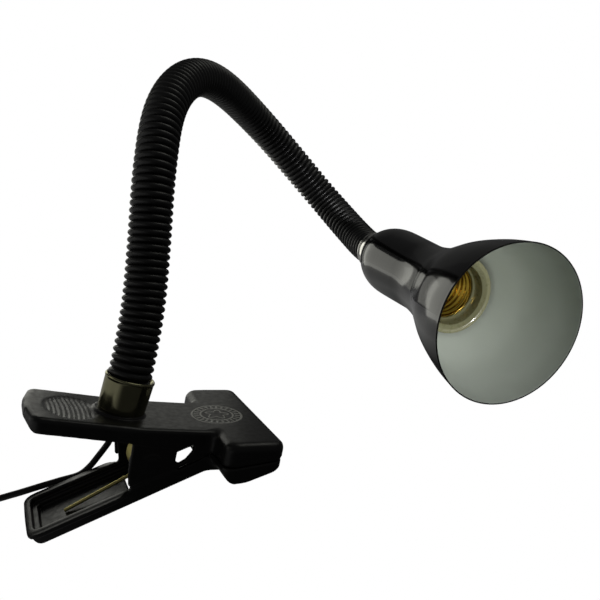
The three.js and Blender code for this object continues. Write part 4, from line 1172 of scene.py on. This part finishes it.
# %% Air
world = bpy.data.worlds.new("studio")
bpy.context.scene.world = world
world.use_nodes = True
world.node_tree.nodes.clear()
add = adder(world.node_tree)
ray = add("ShaderNodeLightPath")
dim = add("ShaderNodeBackground", i_0=(1, 1, 1, 1), i_1=0.05)
white = add("ShaderNodeBackground", i_0=(1, 1, 1, 1), i_1=1.0)
seen = add("ShaderNodeMixShader",
           [(0, ray.outputs["Is Camera Ray"]), (1, dim.outputs[0]), (2, white.outputs[0])])
add("ShaderNodeOutputWorld", [(0, seen.outputs[0])])

# %% Ground
ground_finish, add = nodes_of("studio_floor")
where = add("ShaderNodeTexCoord")
toward = add("ShaderNodeVectorMath", [(0, where.outputs["Object"])], operation="DOT_PRODUCT")
toward.inputs[1].default_value = (-0.75, 0.66, 0)  # behind and to the left
pale = add("ShaderNodeMapRange", [("Value", toward.outputs["Value"])], i_1=0.0, i_2=0.12,
           i_3=0.045, i_4=0.5)
lit = add("ShaderNodeBsdfDiffuse", [("Color", pale.outputs[0])])
bounce = add("ShaderNodeEmission", [("Color", pale.outputs[0])], i_1=0.32)
lit = add("ShaderNodeAddShader", [(0, lit.outputs[0]), (1, bounce.outputs[0])])
glow = add("ShaderNodeEmission", i_0=(1, 1, 1, 1), i_1=1.0)
ray = add("ShaderNodeLightPath")
seen = add("ShaderNodeMixShader",
           [(0, ray.outputs["Is Camera Ray"]), (1, lit.outputs[0]), (2, glow.outputs[0])])
add("ShaderNodeOutputMaterial", [("Surface", seen.outputs[0])])
SPAN, GROUND = 900.0, FLOOR - 0.12
corners = [[-SPAN, -SPAN, GROUND], [SPAN, -SPAN, GROUND], [SPAN, SPAN, GROUND],
           [-SPAN, SPAN, GROUND]]
staged = [make("studio_ground", corners, [[0, 1, 2, 3]], ground_finish, smooth=False)]


# %% Standing and aiming a light
def seen_from(centre, bearing, rise, far):
    """The point far millimetres from centre at a bearing from +X toward +Y and a rise above
    level, in degrees: centre + far * (cos b cos e, sin b cos e, sin e)."""
    b, e = math.radians(bearing), math.radians(rise)
    return centre + far * np.array([math.cos(b) * math.cos(e), math.sin(b) * math.cos(e),
                                    math.sin(e)])


def stand(name, data, at, aim):
    """A lamp at one clamp-millimetre point with its -Z turned to another."""
    obj = bpy.data.objects.new(name, data)
    bpy.context.scene.collection.objects.link(obj)
    look = Vector(place(aim) - place(at)).to_track_quat("-Z", "Y").to_matrix().to_4x4()
    obj.matrix_world = Matrix.Translation(Vector(place(at))) @ look
    staged.append(obj)
    return obj


def panel(name, at, aim, wide, high, brightness):
    """A soft rectangular light. Its power is pi * area * brightness, so brightness is what a
    mirror would show of it."""
    data = bpy.data.lights.new(name, "AREA")
    data.shape = "RECTANGLE"
    data.size, data.size_y = wide / 1000, high / 1000
    data.energy = math.pi * data.size * data.size_y * brightness
    data.color = (1, 1, 0.91)
    stand(name, data, at, aim).visible_camera = False


# %% Panels
HEAD_AT = np.array([125.0, 0.0, 85.0])
NECK_AT = np.array([0.0, 0.0, 40.0])
panel("back_window", seen_from(HEAD_AT, 112, 3, 560), HEAD_AT, 300, 330, 1.05)
panel("back_cloth", seen_from(HEAD_AT, 74, 24, 700), (40, 0, 20), 400, 360, 0.015)
panel("top_light", seen_from(HEAD_AT, 40, 75, 700), (30, 0, 20), 420, 420, 0.75)
panel("arm_card", (94, 250, 88), (25, 0, 0), 90, 110, 0.33)
panel("left_card", seen_from(NECK_AT, 165, 8, 600), NECK_AT, 300, 300, 0.35)

# %% A narrow beam into the shade's mouth, from in front and a little above
mouth = RING_BACK + 105 * HEAD_AXIS
beam = bpy.data.lights.new("mouth_beam", "SPOT")
beam.energy = 11.5
beam.spot_size = math.radians(10)
beam.spot_blend = 0.35
beam.shadow_soft_size = 0.03
stand("mouth_beam", beam, seen_from(mouth, -83, 3, 620), mouth)
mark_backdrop(*staged)
print(len(staged), "studio objects")

# %% [markdown]
# ## Sizes
# The box round the whole lamp is taken before and after its pieces were replaced, and the two are
# left as the cell's last value.

# %% Sizes
size_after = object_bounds()


def plain(value):
    """Vectors and arrays as plain lists."""
    if isinstance(value, dict):
        return {k: plain(v) for k, v in value.items()}
    if isinstance(value, (list, tuple, Vector, np.ndarray)):
        return [plain(v) for v in value]
    return value if isinstance(value, str) else float(value)


{"before": plain(size_before), "after": plain(size_after)}
